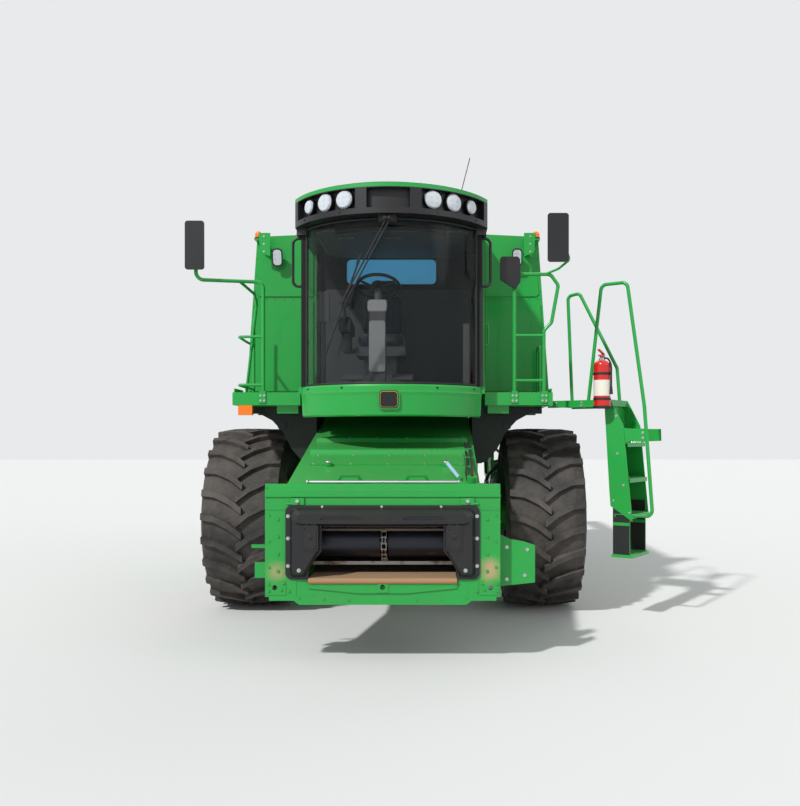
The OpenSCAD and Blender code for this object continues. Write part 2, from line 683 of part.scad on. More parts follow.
module rear_lamps() color("#c03020") home() {
  y = hood_y + hood_l;
  both_sides() {
    translate([body_x - 30, y, 1790]) rotate([-90, 0, 0]) cylinder(h = 30, r = 60);
    block([body_x - 110, y, 1880], [body_x + 50, y + 26, 1930]);
  }
}

module auger_elbow() color(GREEN) home() {
  top = auger_z - auger_r - 170 - gap;
  translate([auger_x, auger_y, deck_z - 80]) cylinder(h = top - deck_z + 80, r = auger_r);
  translate([auger_x, auger_y, top - 24]) cylinder(h = 24, r = auger_r + 25);
  translate([auger_x, auger_y, top - 190]) cylinder(h = 20, r = auger_r + 16);
  block([tank_left_x, auger_y - 130, deck_z + 40], [auger_x, auger_y + 130, deck_z + 300]);
  // Saddle that the folded tube rests on
  difference() {
    front_profile([[tank_left_x, auger_z - auger_r - 260], [auger_x, auger_z - auger_r - 80],
        [auger_x + 130, auger_z - auger_r + 40],
      [auger_x + 130, auger_z - 60], [tank_left_x, auger_z - 60]], engine_end_y - 300, engine_end_y - 240);
    rod([auger_x, engine_end_y - 320, auger_z], [auger_x, engine_end_y - 200, auger_z], auger_r + gap);
  }
}

module auger_tube() color(GREEN) home() {
  z0 = auger_z - auger_r - 170;
  spout_y = auger_tip_y - auger_r - 10;
  translate([auger_x, auger_y, z0]) cylinder(h = 24, r = auger_r + 25);
  translate([auger_x, auger_y, z0]) cylinder(h = auger_z - z0, r = auger_r - 2);
  translate([auger_x, auger_y, auger_z]) sphere(auger_r);
  rod([auger_x, auger_y, auger_z], [auger_x, spout_y, auger_z], auger_r - 2);
  for (y = [auger_y + 420, auger_y + 2600]) rod([auger_x, y, auger_z], [auger_x, y + 24, auger_z],
      auger_r + 16);
  // Spout that turns the grain down, with its soft boot
  translate([auger_x, spout_y, auger_z]) sphere(auger_r);
  difference() {
    union() {
      translate([auger_x, spout_y, auger_z - 330]) cylinder(h = 330, r = auger_r - 2);
      translate([auger_x, spout_y, auger_z - 360]) cylinder(h = 90, r = auger_r + 10);
    }
    translate([auger_x, spout_y, auger_z - 361]) cylinder(h = 190, r = auger_r - 14);
  }
}

module cab_posts() {
  both_sides() {
    top_profile([[pillar_x - 30, pillar_y], [pillar_x + 30, pillar_y - 20], [pillar_x + 40, pillar_y + 50],
      [pillar_x - 20, pillar_y + 60]], cab_floor_z, cab_top_z);
    block([cab_rear_x - 60, cab_back_y - post_w, cab_floor_z], [cab_rear_x, cab_back_y + 1, cab_top_z]);
    block([door_x - 20, door_front_y - 50, cab_floor_z], [door_x + 20, door_front_y, cab_top_z]);
  }
  // Hinge brackets of the door on the left rear post
  for (z = [cab_floor_z + 300, cab_top_z - 340])
    hinge_leaf(z + 50 + gap, door_hinge[0] - cab_rear_x);
}

module hinge_leaf(z, reach) {
  translate([door_hinge[0], door_hinge[1], z]) {
    cylinder(h = 50, r = 16);
    translate([-reach, -8, 0]) cube([reach, 16, 50]);
  }
}

module cab_shell() color(GREEN) home() {
  w = rear_window;
  cab_posts();
  difference() {
    block([-cab_rear_x, cab_back_y, cab_floor_z - 60], [cab_rear_x, cab_back_y + 60, cab_top_z]);
    translate([(w[0] + w[1]) / 2, cab_back_y + 61, (w[2] + w[3]) / 2]) rotate([90, 0, 0])
      linear_extrude(62) round_rect(w[1] - w[0], w[3] - w[2], 50);
  }
  intersection() {
    translate([0, cab_y, cab_floor_z - 60]) cylinder(h = 60, r = screen_r - glass_t - 2);
    block([-pillar_x, screen_y, cab_floor_z - 61], [pillar_x, cab_y, cab_floor_z + 1]);
  }
  block([-cab_rear_x, pillar_y + 8, cab_floor_z - 60], [cab_rear_x, cab_back_y + 1, cab_floor_z]);
  // Crowned roof skin over the visor
  hull() {
    translate([0, 0, visor_top]) linear_extrude(4) roof_outline(0);
    translate([0, 0, visor_top + 52]) linear_extrude(4) roof_outline(130);
  }
}

// Outline of the roof, drawn in by an inset.
module roof_outline(inset) {
  intersection() {
    translate([0, roof_y]) circle(roof_r - 30 - inset);
    translate([-cab_rear_x - 10 + inset, roof_y - roof_r]) square([2 * (cab_rear_x + 10 - inset),
        roof_r + cab_back_y - roof_y + 50 - inset]);
  }
}

module cab_roof() color(BLACK) home() {
  w = cab_rear_x + 20;
  difference() {
    intersection() {
      translate([0, roof_y, cab_top_z]) cylinder(h = roof_h, r = roof_r);
      block([-w, screen_y - 400, cab_top_z - 1], [w, cab_y, visor_top + 1]);
    }
    for (pocket = visor_pockets) visor_pocket(pocket[0], pocket[1]);
  }
  block([-w, cab_y - 1, cab_top_z], [w, cab_back_y + 60, visor_top]);
  // Cheeks that run down over the tops of the front pillars
  both_sides() difference() {
    top_profile([[pillar_x - 20, pillar_y - 60], [w - 10, pillar_y - 40], [w, pillar_y + 205],
        [pillar_x + 46, pillar_y + 205],
      [pillar_x + 46, pillar_y - 26]], cab_top_z - 60, cab_top_z + 1);
    translate([0, cab_y, cab_top_z - 61]) cylinder(h = 61 - gap, r = screen_r + 3);
  }
}

// Recesses of the visor, from one turn to another about the roof's middle, and the lamps in them.
visor_pockets = [[-60, -17], [-11, 11], [17, 60]];
visor_lamps = [[24, 1], [36.5, 1], [49.5, 0.78]];

module visor_pocket(turn0, turn1) {
  translate([0, roof_y, 0]) rotate([0, 0, -90 + turn0]) rotate_extrude(angle = turn1 - turn0, $fn = 240)
    translate([roof_r - pocket_d, cab_top_z + 50]) square([pocket_d + 20, roof_h - 90]);
}

module roof_lamps() color("#e8ecee") home() {
  for (side = [-1, 1], lamp = visor_lamps) {
    r = lamp_r * lamp[1];
    translate([0, roof_y, cab_top_z + 140]) rotate([90, 0, side * lamp[0]]) translate([0, 0,
        roof_r - pocket_d + gap]) {
      cylinder(h = pocket_d - 26, r1 = r * 0.7, r2 = r);
      translate([0, 0, pocket_d - 26]) cylinder(h = 14, r1 = r, r2 = r * 0.86);
    }
  }
}

module windscreen() color(GLASS) home() {
  edge = 2.2;
  translate([0, cab_y, cab_floor_z]) rotate([0, 0, -90 - screen_half + edge])
    rotate_extrude(angle = 2 * (screen_half - edge), $fn = 240)
      translate([screen_r - glass_t, 0]) square([glass_t, cab_glass_h]);
}

module cab_glass() color(GLASS) home() {
  w = rear_window;
  translate([(w[0] + w[1]) / 2, cab_back_y + 24 + glass_t, (w[2] + w[3]) / 2]) rotate([90, 0, 0])
    linear_extrude(glass_t) round_rect(w[1] - w[0], w[3] - w[2], 50);
  block([-door_x - 4, door_front_y, cab_floor_z], [-door_x + 4, cab_back_y - post_w, cab_top_z]);
  both_sides() block([door_x - 4, pillar_y + 62, cab_floor_z], [door_x + 4, door_front_y - 50, cab_top_z]);
}

module cab_door() color(GREEN) home() {
  y0 = door_front_y + 8;
  y1 = cab_back_y - post_w - 14;
  ym = (y0 + y1) / 2;
  zm = (cab_floor_z + cab_top_z) / 2;
  difference() {
    block([door_x, y0, cab_floor_z + 8], [door_x + door_t, y1, cab_top_z - 8]);
    translate([door_x - 1, ym, zm + 30]) rotate([90, 0, 90]) linear_extrude(door_t + 2)
      round_rect(y1 - y0 - 110, cab_glass_h - 230, 70);
  }
  block([door_x + 16, y0 + 50, cab_floor_z + 78], [door_x + 24, y1 - 50, cab_top_z - 48]);
  // Handle
  pipe([[door_x + door_t - 2, y0 + 30, cab_floor_z + 420], [door_x + door_t + 34, y0 + 30,
      cab_floor_z + 420],
    [door_x + door_t + 34, y0 + 30, cab_floor_z + 620], [door_x + door_t - 2, y0 + 30,
        cab_floor_z + 620]], 8, 20);
  for (z = [cab_floor_z + 300, cab_top_z - 340])
    translate([door_hinge[0], door_hinge[1], z]) {
      cylinder(h = 50, r = 16);
      translate([-8, -60, 0]) cube([8, 60, 50]);
    }
}

module cab_skirt() color(GREEN) home() {
  r = screen_r - glass_t;
  translate([0, cab_y, cab_floor_z - skirt_h]) rotate([0, 0, -90 - screen_half])
    rotate_extrude(angle = 2 * screen_half, $fn = 240) polygon([[r, 0], [r + 20, 0], [r + 30, 14],
      [r + 40, skirt_h * 0.66], [r + 46, skirt_h * 0.76], [r + 32, skirt_h * 0.80], [r + 30, skirt_h - 16],
      [r + 22, skirt_h], [r, skirt_h]]);
  // Bare badge plate
  translate([0, screen_y - 16, cab_floor_z - skirt_h * 0.48]) rotate([90, 0, 0]) linear_extrude(28)
    round_rect(190, 176, 40);
}

module cab_interior() color(BLACK) home() translate([-operator_x, 0, cab_floor_z]) {
  // Steering column on its pedestal
  side_profile([[cab_y - 520, 0], [cab_y - 300, 0], [cab_y - 340, 700], [cab_y - 400, 780], [cab_y - 500,
      780],
    [cab_y - 540, 700]], -72, 72);
  rod([0, cab_y - 412 - 140 * sin(24), 900 - 140 * cos(24)],
    [0, cab_y - 412 + (2 - gap) * sin(24), 900 + (2 - gap) * cos(24)], 34);
  // Pedals with their ledge
  for (x = [-330, 130]) {
    side_profile([[cab_y - 470, 60], [cab_y - 340, 120], [cab_y - 334, 132], [cab_y - 476, 72]], x,
        x + 190);
    block([x + 80, cab_y - 420, 0], [x + 110, cab_y - 390, 96]);
  }
  // Seat base with its suspension
  block([-190, cab_y + 40, 0], [190, cab_y + 380, 150]);
  side_profile([[cab_y, 330], [cab_y + 60, 149], [cab_y + 360, 149], [cab_y + 420, 330]], -150, 150);
  block([-240, cab_y - 30, 329], [240, cab_y + 440, 420]);
  // Arm rest with the controls
  side_profile([[cab_y - 120, 560], [cab_y + 380, 560], [cab_y + 400, 660], [cab_y - 60, 700],
      [cab_y - 160, 640]], -400, -290);
  block([-380, cab_y + 60, 380], [-310, cab_y + 300, 561]);
  block([-311, cab_y + 100, 380], [-239, cab_y + 260, 410]);
  rod([-345, cab_y - 60, 690], [-345, cab_y - 80, 800], 12);
  translate([-345, cab_y - 80, 820]) sphere(34);
  // Corner post with the display
  rod([-520, cab_y - 330, 0], [-520, cab_y - 330, 620], 22);
  block([-575, cab_y - 360, 619], [-465, cab_y - 310, 900]);
  // Grey post beside the left pillar and a box on the rear wall
  block([790, cab_y - 440, 0], [850, cab_y - 380, 590]);
  block([380, cab_back_y - 40, 950], [700, cab_back_y, 1040]);
}

module operator_seat() color(DARK) home() translate([-operator_x, cab_y, seat_z - 10 + gap]) {
  block([-250, -60, 0], [250, 400, 130]);
  side_profile([[330, 120], [440, 120], [540, 740], [440, 740]], -235, 235);
}

module steering_wheel() color(BLACK) home() {
  translate([-operator_x, cab_y - 412, cab_floor_z + 900]) rotate([-24, 0, 0]) {
    translate([0, 0, 46]) rotate_extrude() translate([195, 0]) circle(15);
    for (a = [90, 210, 330]) rotate(a) rod([20, 0, 26], [192, 0, 46], 11);
    translate([0, 0, 2]) cylinder(h = 60, r = 46);
  }
}

module wiper() color(BLACK) home() {
  y = screen_y - 40;
  z = cab_top_z;
  // Motor box on the visor's lower edge, with its bracket
  block([-90, screen_y - 100, z - 64], [70, screen_y - 8, z]);
  block([-60, screen_y - 124, z - 50], [40, screen_y - 99, z - 10]);
  for (x = [0, 34]) rod([x - 20, y - 70, z - 40], [x - 420, y + 25, z - 760], 7);
  rod([-440, y + 22, z - 740], [-400, y + 22, z - 770], 10);
  rod([-240, y - 6, z - 330], [-560, y + 104, z - 1180], 8);
  rod([-420, y + 22, z - 754], [-404, y + 48, z - 760], 9);
}

module grab_handles() color(BLACK) home() {
  x = pillar_x + 37;
  y = pillar_y + 15;
  both_sides() {
    pipe([[x + gap, y, cab_top_z - 80], [x + 75, y, cab_top_z - 80], [x + 75, y, cab_top_z - 520],
      [x + gap, y, cab_top_z - 520]], 13, 50);
  }
}

module whip_antenna() color(BLACK) home() {
  translate([620, cab_y, visor_top + 56 + gap]) {
    cylinder(h = 34, r = 20);
    rod([0, 0, 30], [120, 0, 500], 4);
  }
}

deck_z1 = cab_floor_z - 160 + deck_t;

// A platform's deck, folded from sheet, with a toe board along its outer edge and the cab's bracket.
module platform_deck() {
  x0 = cab_rear_x + 10;
  z0 = cab_floor_z - 160;
  difference() {
    block([x0, deck_front_y, z0], [deck_outer_x, tank_y, deck_z1]);
    block([x0 + 20, deck_front_y + 14, z0 - 1], [deck_outer_x - 14, -720, deck_z1 - 14]);
    block([x0 + 20, -580, z0 - 1], [deck_outer_x - 14, -180, deck_z1 - 14]);
  }
  block([deck_outer_x - 12, deck_front_y + 60, deck_z1 - 1], [deck_outer_x, hinge_y - 60, deck_z1 + 40]);
  side_profile([[deck_front_y + 30, deck_z1 - 13], [deck_front_y + 60, z0 - 76], [deck_front_y + 130,
      z0 - 76],
    [deck_front_y + 160, deck_z1 - 13]], x0 + 30, x0 + 230);
}

// A rail post's bolted foot on the front of the deck.
module rail_foot(x) {
  block([x - 30, deck_front_y - 12, deck_z1 - 100], [x + 30, deck_front_y + 1, deck_z1 + 10]);
  block([x - 22, deck_front_y - 12, deck_z1 - 20], [x + 22, deck_front_y + 40, deck_z1 + 14]);
}

module platform_left() color(GREEN) home() {
  z = deck_z1;
  y = deck_front_y + 30;
  platform_deck();
  for (x = [1149, 1429]) rail_foot(x);
  pipe([[1149, y, z], [1149, y, z + 1119], [1492, y, z + 1119], [1566, y, z + 1016], [1502, y, z + 663],
    [1429, y, z + 588], [1429, y, z]], rail_r, 60);
  for (h = [114, 540]) rod([1149, y, z + h], [1429, y, z + h], rail_r - 4);
  // Mirror's arm
  pipe([[1440, y, z + 1119], [1560, y - 60, z + 1160], [1643, y - 200, z + 1216], [1577, -1285,
      z + 1372]], 11, 50);
  translate([1577, -1285, z + 1372]) sphere(20);
  // Rail behind the ladder's hinge
  pipe([[1480, -240, z], [1480, -240, z + 520], [1480, -60, z + 520], [1480, -60, z]], rail_r - 3, 60);
  block([deck_outer_x - 1, hinge_y - 30, z - 60], [hinge_x, hinge_y + 10, z - 10]);
  translate([hinge_x, hinge_y, z - 60]) cylinder(h = 50, r = 24);
}

module platform_right() color(GREEN) home() {
  z = deck_z1;
  y = deck_front_y + 30;
  mirror([1, 0, 0]) {
    platform_deck();
    rail_foot(1225);
    pipe([[1225, y, z], [1225, y, z + 1046], [1320, y - 10, z + 1046], [1790, -1285, z + 1020], [1790,
        -1285, z + 1260]], rail_r, 70);
    // Leaning post that props the mirror's arm
    pipe([[1435, -1088, z + 1040], [1345, -860, z + 960], [1365, -640, z + 900], [1480, -600, z]],
        rail_r - 3, 60);
    rod([1485, -200, z], [1485, -200, z + 820], rail_r - 3);
    for (h = [72, 528]) pipe([[1225, y, z + h], [1460, y, z + h], [1480, -600, z + h], [1485, -200,
        z + h]], rail_r - 4, 60);
  }
}

module mirrors() color(BLACK) home() {
  mirror_case([-1875, -1700], [3282, 3726], -1345, -1285 - rail_r - gap);
  mirror_case([1424, 1616], [3352, 3796], -1345, -1305 - gap);
  // Convex mirror under the left rail's top bar
  y = deck_front_y + 30 - rail_r - bend_lip - gap;
  front_profile([[1012, 3240], [1160, 3150], [1204, 3220], [1200, 3430], [1180, 3456], [1030, 3456],
      [1012, 3436]], y - 36, y);
}

// A mirror's case with round corners, its glass towards the cab and a rounded back.
module mirror_case(x, z, y0, y1) {
  w = x[1] - x[0];
  h = z[1] - z[0];
  hull() {
    translate([(x[0] + x[1]) / 2, y1, (z[0] + z[1]) / 2]) rotate([90, 0, 0]) linear_extrude(20)
        round_rect(w - 50, h - 50, 20);
    translate([(x[0] + x[1]) / 2, y0 + 16, (z[0] + z[1]) / 2]) rotate([90, 0, 0]) linear_extrude(16)
        round_rect(w, h, 26);
  }
}

module corner_beacons() color("#f08a20") home() {
  both_sides() translate([tank_top_x - 34, tank_y - 100, tank_top_z - 52 + gap]) {
    cylinder(h = 50, r = 38);
    translate([0, 0, 50]) sphere(38);
  }
  both_sides() translate([tank_top_x - 235, tank_y - 60, tank_top_z - 232]) {
    rotate([12, 0, 0]) hull() {
      translate([0, -60, 0]) rotate([90, 0, 0]) linear_extrude(8) round_rect(110, 190, 44);
      rotate([90, 0, 0]) linear_extrude(8) round_rect(60, 110, 24);
    }
    block([-12, -20, -10], [12, 60 - 14 - gap, 14]);
  }
  // Side lamp under the right platform
  block([-deck_outer_x + 53, deck_front_y + 2, cab_floor_z - 160 - 94], [-deck_outer_x + 185,
      deck_front_y + 60, cab_floor_z - 160 - gap]);
}

module ladder() color(GREEN) home() {
  translate([hinge_x, hinge_y, 0]) rotate(-ladder_turn) {
    z = deck_z1;
    far = ladder_w - 10;
    beam = z - 60 - gap;
    block([20, 10, beam - 8], [landing_l, ladder_w, beam]);
    block([20, 10, beam - 70], [landing_l, 18, beam]);
    block([20, ladder_w - 8, beam - 70], [landing_l, ladder_w, beam]);
    for (n = [20, 200, 400, landing_l - 12]) block([n, 17, beam - 60], [n + 12, ladder_w - 7, beam - 7]);
    translate([0, 10, z - 130 - gap]) cylinder(h = 70, r = 30);
    for (y = [12, far]) translate([0, y, 0])
      front_profile([[landing_l - 60, z - 125], [landing_l + 5, z - 75], [landing_l + 130, 1870],
        [step_n, 960], [landing_l, 1100], [landing_l - 10, 1230]], 0, 8);
    // Arm plates that carry the rails, with hollowed edges
    for (y = [20, far - 8]) translate([0, y, 0])
      front_profile([[landing_l + 60, 1900], [landing_l + 96, 1850], [landing_l + 190, 1840],
          [ladder_rail_n - 66, 1838],
        [ladder_rail_n - 62, 1722], [landing_l + 190, 1716], [landing_l + 120, 1700], [landing_l + 90,
            1640]], 0, 8);
    for (i = [0:2]) {
      block([landing_l + i * 20, 15, 1698 - i * 340], [landing_l + 180 + i * 20, ladder_w - 5,
          1706 - i * 340]);
      block([landing_l + 172 + i * 20, 15, 1666 - i * 340], [landing_l + 180 + i * 20, ladder_w - 5,
          1706 - i * 340]);
      block([landing_l + i * 20, 15, 1676 - i * 340], [landing_l + 8 + i * 20, ladder_w - 5,
          1706 - i * 340]);
    }
    // Slotted guard behind the treads
    difference() {
      front_profile([[landing_l - 50, z - 124], [landing_l - 36, z - 118], [landing_l + 10, 1180],
          [landing_l - 2, 1180]], 19, far + 1);
      for (y = [70:90:far - 60], i = [0:7])
        block([landing_l - 60, y, 1240 + i * 90], [landing_l + 20, y + 40, 1268 + i * 90]);
    }
    // Rubber flaps and the step that hangs on them
    for (y = [24, far - 14]) block([landing_l + 20, y, 630], [step_n - 30, y + 10, 1150]);
    block([landing_l + 10, 14, 610], [step_n, ladder_w - 4, 640]);
    pipe([[390, 34, z - 100], [530, 34, 3230], [790, 34, 3230], [ladder_rail_n - 80, 34, 2050],
      [ladder_rail_n, 34, 1016], [step_n - 60, 34, 1016]], rail_r, 60);
    pipe([[40, far - 26, z - 100], [-10, far - 26, 3220], [120, far - 26, 3240], [530, far - 26, 2450],
      [560, far - 26, z - 100]], rail_r, 50);
  }
}

module extinguisher() color("#d02020") home() {
  translate([hinge_x, hinge_y, 0]) rotate(-ladder_turn) translate([landing_l - 50, 10 - 80 - gap, 2040]) {
    cylinder(h = 400, r = 80);
    translate([0, 0, 400]) scale([1, 1, 0.7]) sphere(79);
    translate([0, 0, 440]) cylinder(h = 50, r = 20);
    block([-14, -60, 484], [14, 40, 500]);
    side_profile([[-80, 540], [40, 505], [40, 515], [-80, 552]], -12, 12);
    block([-12, 20, 484], [12, 40, 512]);
  }
}

module feeder_outline(x0, x1, inset) {
  side_profile([[front_y + face_t, face_z + 86 + inset], [pivot_y + 200, 1450 + inset],
    [pivot_y + 200, 2010 - inset], [front_y + face_t, face_z + face_h - 20 - inset]], x0, x1);
}

// Puts its children on the feeder house's top at y, with their z square to it.
module on_feeder_top(x, y) {
  translate([x, y, face_z + face_h - 20 + (y - house_y) * top_slope]) rotate([atan(top_slope), 0, 0])
      children();
}

module feeder_house() color(GREEN) home() {
  difference() {
    feeder_outline(-feeder_w / 2, feeder_w / 2, 0);
    feeder_outline(-feeder_inner, feeder_inner, feeder_wall);
    block([-feeder_inner, front_y, face_z + 150], [feeder_inner, front_y + face_t + 100, face_z + 800]);
    block([-feeder_inner, pivot_y + 100, 1500], [feeder_inner, pivot_y + 300, 1960]);
  }
  both_sides() {
    rod([feeder_w / 2 - 1, pivot_y, pivot_z], [frame_x + frame_t + 40, pivot_y, pivot_z], 60);
    for (x = [lift_x - 65, lift_x + 40]) difference() {
      side_profile([[lift_eye[0] - 200, 870], [lift_eye[0] - 60, lift_eye[1] - 60],
        [lift_eye[0] + 60, lift_eye[1] - 60], [lift_eye[0] + 200, 1000]], x, x + 25);
      feeder_outline(x - 1, x + 26, 5);
    }
    rod([lift_x - 60, lift_eye[0], lift_eye[1]], [lift_x + 60, lift_eye[0], lift_eye[1]], eye_pin_r);
    // Stiffeners down the side walls
    for (k = [300, 850, 1400]) translate([0, front_y + k, face_z]) side_profile([[0, 450 + k * 0.3],
      [60, 462 + k * 0.3], [60, 770 + k * top_slope], [0, 758 + k * top_slope]], feeder_w / 2 - 1,
          feeder_w / 2 + 22);
    // Silver-headed bosses and lifting loops on the top
    on_feeder_top(490, front_y + 620) {
      translate([0, 0, -5]) cylinder(h = 31, r = 34);
      cylinder(h = 40, r = 22);
    }
    on_feeder_top(0, front_y + 130)
      front_profile([[150, -5], [186, 66], [198, 74], [324, 74], [336, 66], [372, -5], [348, -5],
        [318, 52], [204, 52], [174, -5]], -10, 10);
  }
  // Cross ribs and the bolted cover on the top
  for (y = [1000, 1420]) on_feeder_top(0, front_y + y) side_profile([[0, -2], [20, 34], [70, 34], [90,
      -2]], -700, 700);
  on_feeder_top(0, front_y + 640) block([-650, 0, -2], [650, 330, 8]);
  // Level sensor's lever on the left side of the top
  on_feeder_top(590, front_y + 200) {
    block([-20, 0, -2], [20, 90, 20]);
    rod([0, 40, 10], [-90, 180, 90], 14);
  }
  on_feeder_top(690, front_y + 160) cylinder(h = 50, r = 40);
}

module feeder_face() color(GREEN) home() {
  w = face_w / 2;
  z1 = face_z + face_h;
  difference() {
    union() {
      // Folded top beam; its flat band is what a header's frame leans on
      side_profile([[house_y, z1], [front_y + 16, z1], [front_y + 12, z1 - 40], [front_y, z1 - 46],
          [front_y, z1 - 98],
        [front_y + 12, z1 - 104], [front_y + 12, z1 - 116], [front_y + 4, z1 - 122], [front_y + 4,
            z1 - 190],
        [house_y, z1 - 190]], -w, w);
      // Box frame round the mouth, and the side sheets with their flanges
      block([-w + 140, front_y + 6, face_z + 60], [w - 140, house_y, z1 - 180]);
      both_sides() {
        block([w - 150, front_y + 6, face_z + 60], [w, front_y + 6 + sheet_t, z1 - 180]);
        block([w - sheet_t, front_y + 6, face_z + 60], [w, front_y + 150, z1 - 20]);
        block([w - 150, front_y + 2, z1 - 198], [w - 1, front_y + 8, z1 - 180]);
        // Corner block with the lock pin's hole, and its bolted plate
        block([w - 160, front_y + 2, face_z + 74], [w - 8, house_y, face_z + 180]);
        block([w - 240, front_y + 3, face_z + 64], [w - 166, front_y + 8, face_z + 196]);
        // Top latch
        block([w - 300, front_y - 12, z1 - 158], [w - 200, front_y + 13, z1 - 106]);
        rod([w - 206, front_y - 6, z1 - 150], [w - 168, front_y - 6, z1 - 150], 9);
        // Sloped deflector in the mouth's corner
        front_profile([[mouth[0] + 1, mouth[1] + 90], [mouth[0] - 30, mouth[1] + 20], [mouth[0] - 46,
            mouth[1] - 10],
          [mouth[0] + 1, mouth[1] - 10]], front_y + 10, front_y + 50);
      }
      // Lower beam with raised ends, and the folded lip above it
      front_profile([[-w + 30, face_z + 70], [w - 30, face_z + 70], [w - 30, face_z + 31], [w - 220,
          face_z + 31],
        [w - 260, face_z], [-w + 260, face_z], [-w + 220, face_z + 31], [-w + 30, face_z + 31]],
            front_y + 4, house_y);
      front_profile([[-568, mouth[1] - 10], [568, mouth[1] - 10], [568, face_z + 128], [190, face_z + 90],
        [-190, face_z + 90], [-568, face_z + 128]], front_y - 6, front_y + 8);
      block([-45, front_y - 12, face_z + 96], [45, front_y + 8, face_z + 176]);
      // Feeder floor with its rolled front edge
      block([-568, front_y - 4, mouth[1] + 2], [568, front_y + 300, mouth[1] + 16]);
      rod([-568, front_y - 4, mouth[1] - 6], [568, front_y - 4, mouth[1] - 6], 22);
      // Latch bar on its brackets
      rod([-566, front_y + 40, z1 + 14], [580, front_y + 40, z1 + 14], 10);
      for (x = [-570, 0, 570]) block([x - 6, front_y + 26, z1 - 1], [x + 6, front_y + 54, z1 + 16]);
      // Coupling guard on the left, stub brackets on the right
      front_profile([[w - 6, face_z + 120], [w + 280, face_z + 150], [w + 280, face_z + 440], [w + 190,
          face_z + 470],
        [w + 90, face_z + 486], [w - 6, face_z + 530]], front_y + 132, front_y + 146);
      block([w + 268, front_y + 132, face_z + 150], [w + 280, front_y + 260, face_z + 430]);
      block([-w - 130, front_y + 130, face_z + 419], [-w + 2, front_y + 144, face_z + 446]);
      block([-w - 100, front_y + 110, face_z + 189], [-w + 2, front_y + 144, face_z + 308]);
    }
    block([-mouth[0], front_y + 5.5, mouth[1] + 16], [mouth[0], house_y + 1, mouth[2]]);
    block([-mouth[0], front_y + 8, face_z + 140], [mouth[0], house_y + 1, mouth[1] - 20]);
    for (x = [-lock_x, lock_x]) rod([x, front_y - 1, lock_z], [x, house_y + 1, lock_z], lock_r);
    rod([0, front_y - 20, face_z + 136], [0, front_y + 20, face_z + 136], 20);
  }
}

// Half widths and levels of the shroud, about the middle of the mouth.
shroud_z = face_z + 479;

module shroud_opening(grow) {
  polygon([[-465 - grow, 131], [465 + grow, 131], [465 + grow, -66], [558 + grow, -184], [576 + grow, -320],
    [-576 - grow, -320], [-558 - grow, -184], [-465 - grow, -66]]);
}

module feeder_shroud() color(BLACK) home() translate([0, front_y + 4 - gap, shroud_z]) rotate([90, 0, 0]) {
  difference() {
    linear_extrude(14) difference() {
      round_rect(1484, 566, 50);
      shroud_opening(0);
    }
    for (x = [-1, 1], z = [200, 30, -180]) translate([x * 722, z, 8]) cylinder(h = 8, r = 9);
  }
  // Hood over the mouth, with two long recesses
  difference() {
    hull() {
      translate([0, 198, 13]) linear_extrude(2) round_rect(1410, 130, 50);
      translate([0, 190, 46]) linear_extrude(2) round_rect(1380, 112, 50);
      translate([0, 186, shroud_d + 2 - gap]) linear_extrude(2) round_rect(1290, 76, 36);
    }
    both_sides() translate([0, 0, shroud_d - 6]) linear_extrude(20) polygon([[150, 178], [190, 204],
        [450, 204], [470, 178]]);
  }
  // Legs beside the mouth, and the bearing covers on them
  both_sides() {
    hull() {
      translate([0, 0, 13]) linear_extrude(2) polygon([[482, 190], [482, -70], [572, -188], [592, -262],
          [690, -262],
        [706, -240], [706, 190]]);
      translate([0, 0, 56]) linear_extrude(2) polygon([[500, 180], [500, -60], [588, -176], [606, -236],
          [672, -236],
        [682, -224], [682, 180]]);
    }
    difference() {
      translate([0, 0, 40]) linear_extrude(28) polygon([[484, -60], [484, 132], [516, 152], [545, 171],
          [574, 152],
        [608, 120], [608, -60]]);
      translate([545, 140, 60]) cylinder(h = 10, r = 9);
    }
  }
}

// Rise of the feeder chain's runs from the drum back to the rear sprocket.
chain_rise = atan((rear_sprocket[1] - drum_z) / (rear_sprocket[0] - drum_y));

module feeder_chain() color(STEEL) home() {
  span = norm([rear_sprocket[0] - drum_y, rear_sprocket[1] - drum_z]);
  translate([0, drum_y, drum_z]) rotate([chain_rise, 0, 0]) {
    // Outer strands as bands, the middle one in links where it shows
    for (x = [-640, 0, 640]) {
      for (side = [-1, 1]) translate([x - 14, 0, side * chain_r - 10]) cube([28, span, 20]);
      if (x != 0) rotate([0, 90, 0]) translate([0, 0, x - 14]) chain_band(28);
    }
    links = ceil(180 / (2 * asin(link_pitch / 2 / chain_r)));
    for (i = [0:links - 1]) rotate([90 + 180 - (i + 0.5) * 180 / links, 0, 0])
        chain_link(i % 2 == 0 ? 12 : 19);
    for (i = [0:links]) rotate([90 + 180 - i * 180 / links, 0, 0]) rod([-24, chain_r, 0], [24, chain_r,
        0], 8);
    // Slats: over the drum and along both runs
    for (a = [28, 152]) rotate([180 - a + 90, 0, 0]) chain_slat();
    for (y = [300:384:span - 120], side = [-1, 1]) translate([0, y, 0]) rotate([side * 90, 0, 0])
        chain_slat();
    // Rear shaft with its sprockets
    translate([0, span, 0]) rotate([0, 90, 0]) {
      cylinder(h = 2 * (feeder_inner - gap), r = 35, center = true);
      for (x = [-640, 0, 640]) translate([0, 0, x - 14]) cylinder(h = 28, r = chain_r + 10);
    }
  }
}

// Half a ring round the drum, open to the rear.
module chain_band(w) {
  rotate(90) rotate([0, 0, 0]) rotate_extrude(angle = 180) translate([chain_r - 10, 0]) square([20, w]);
}

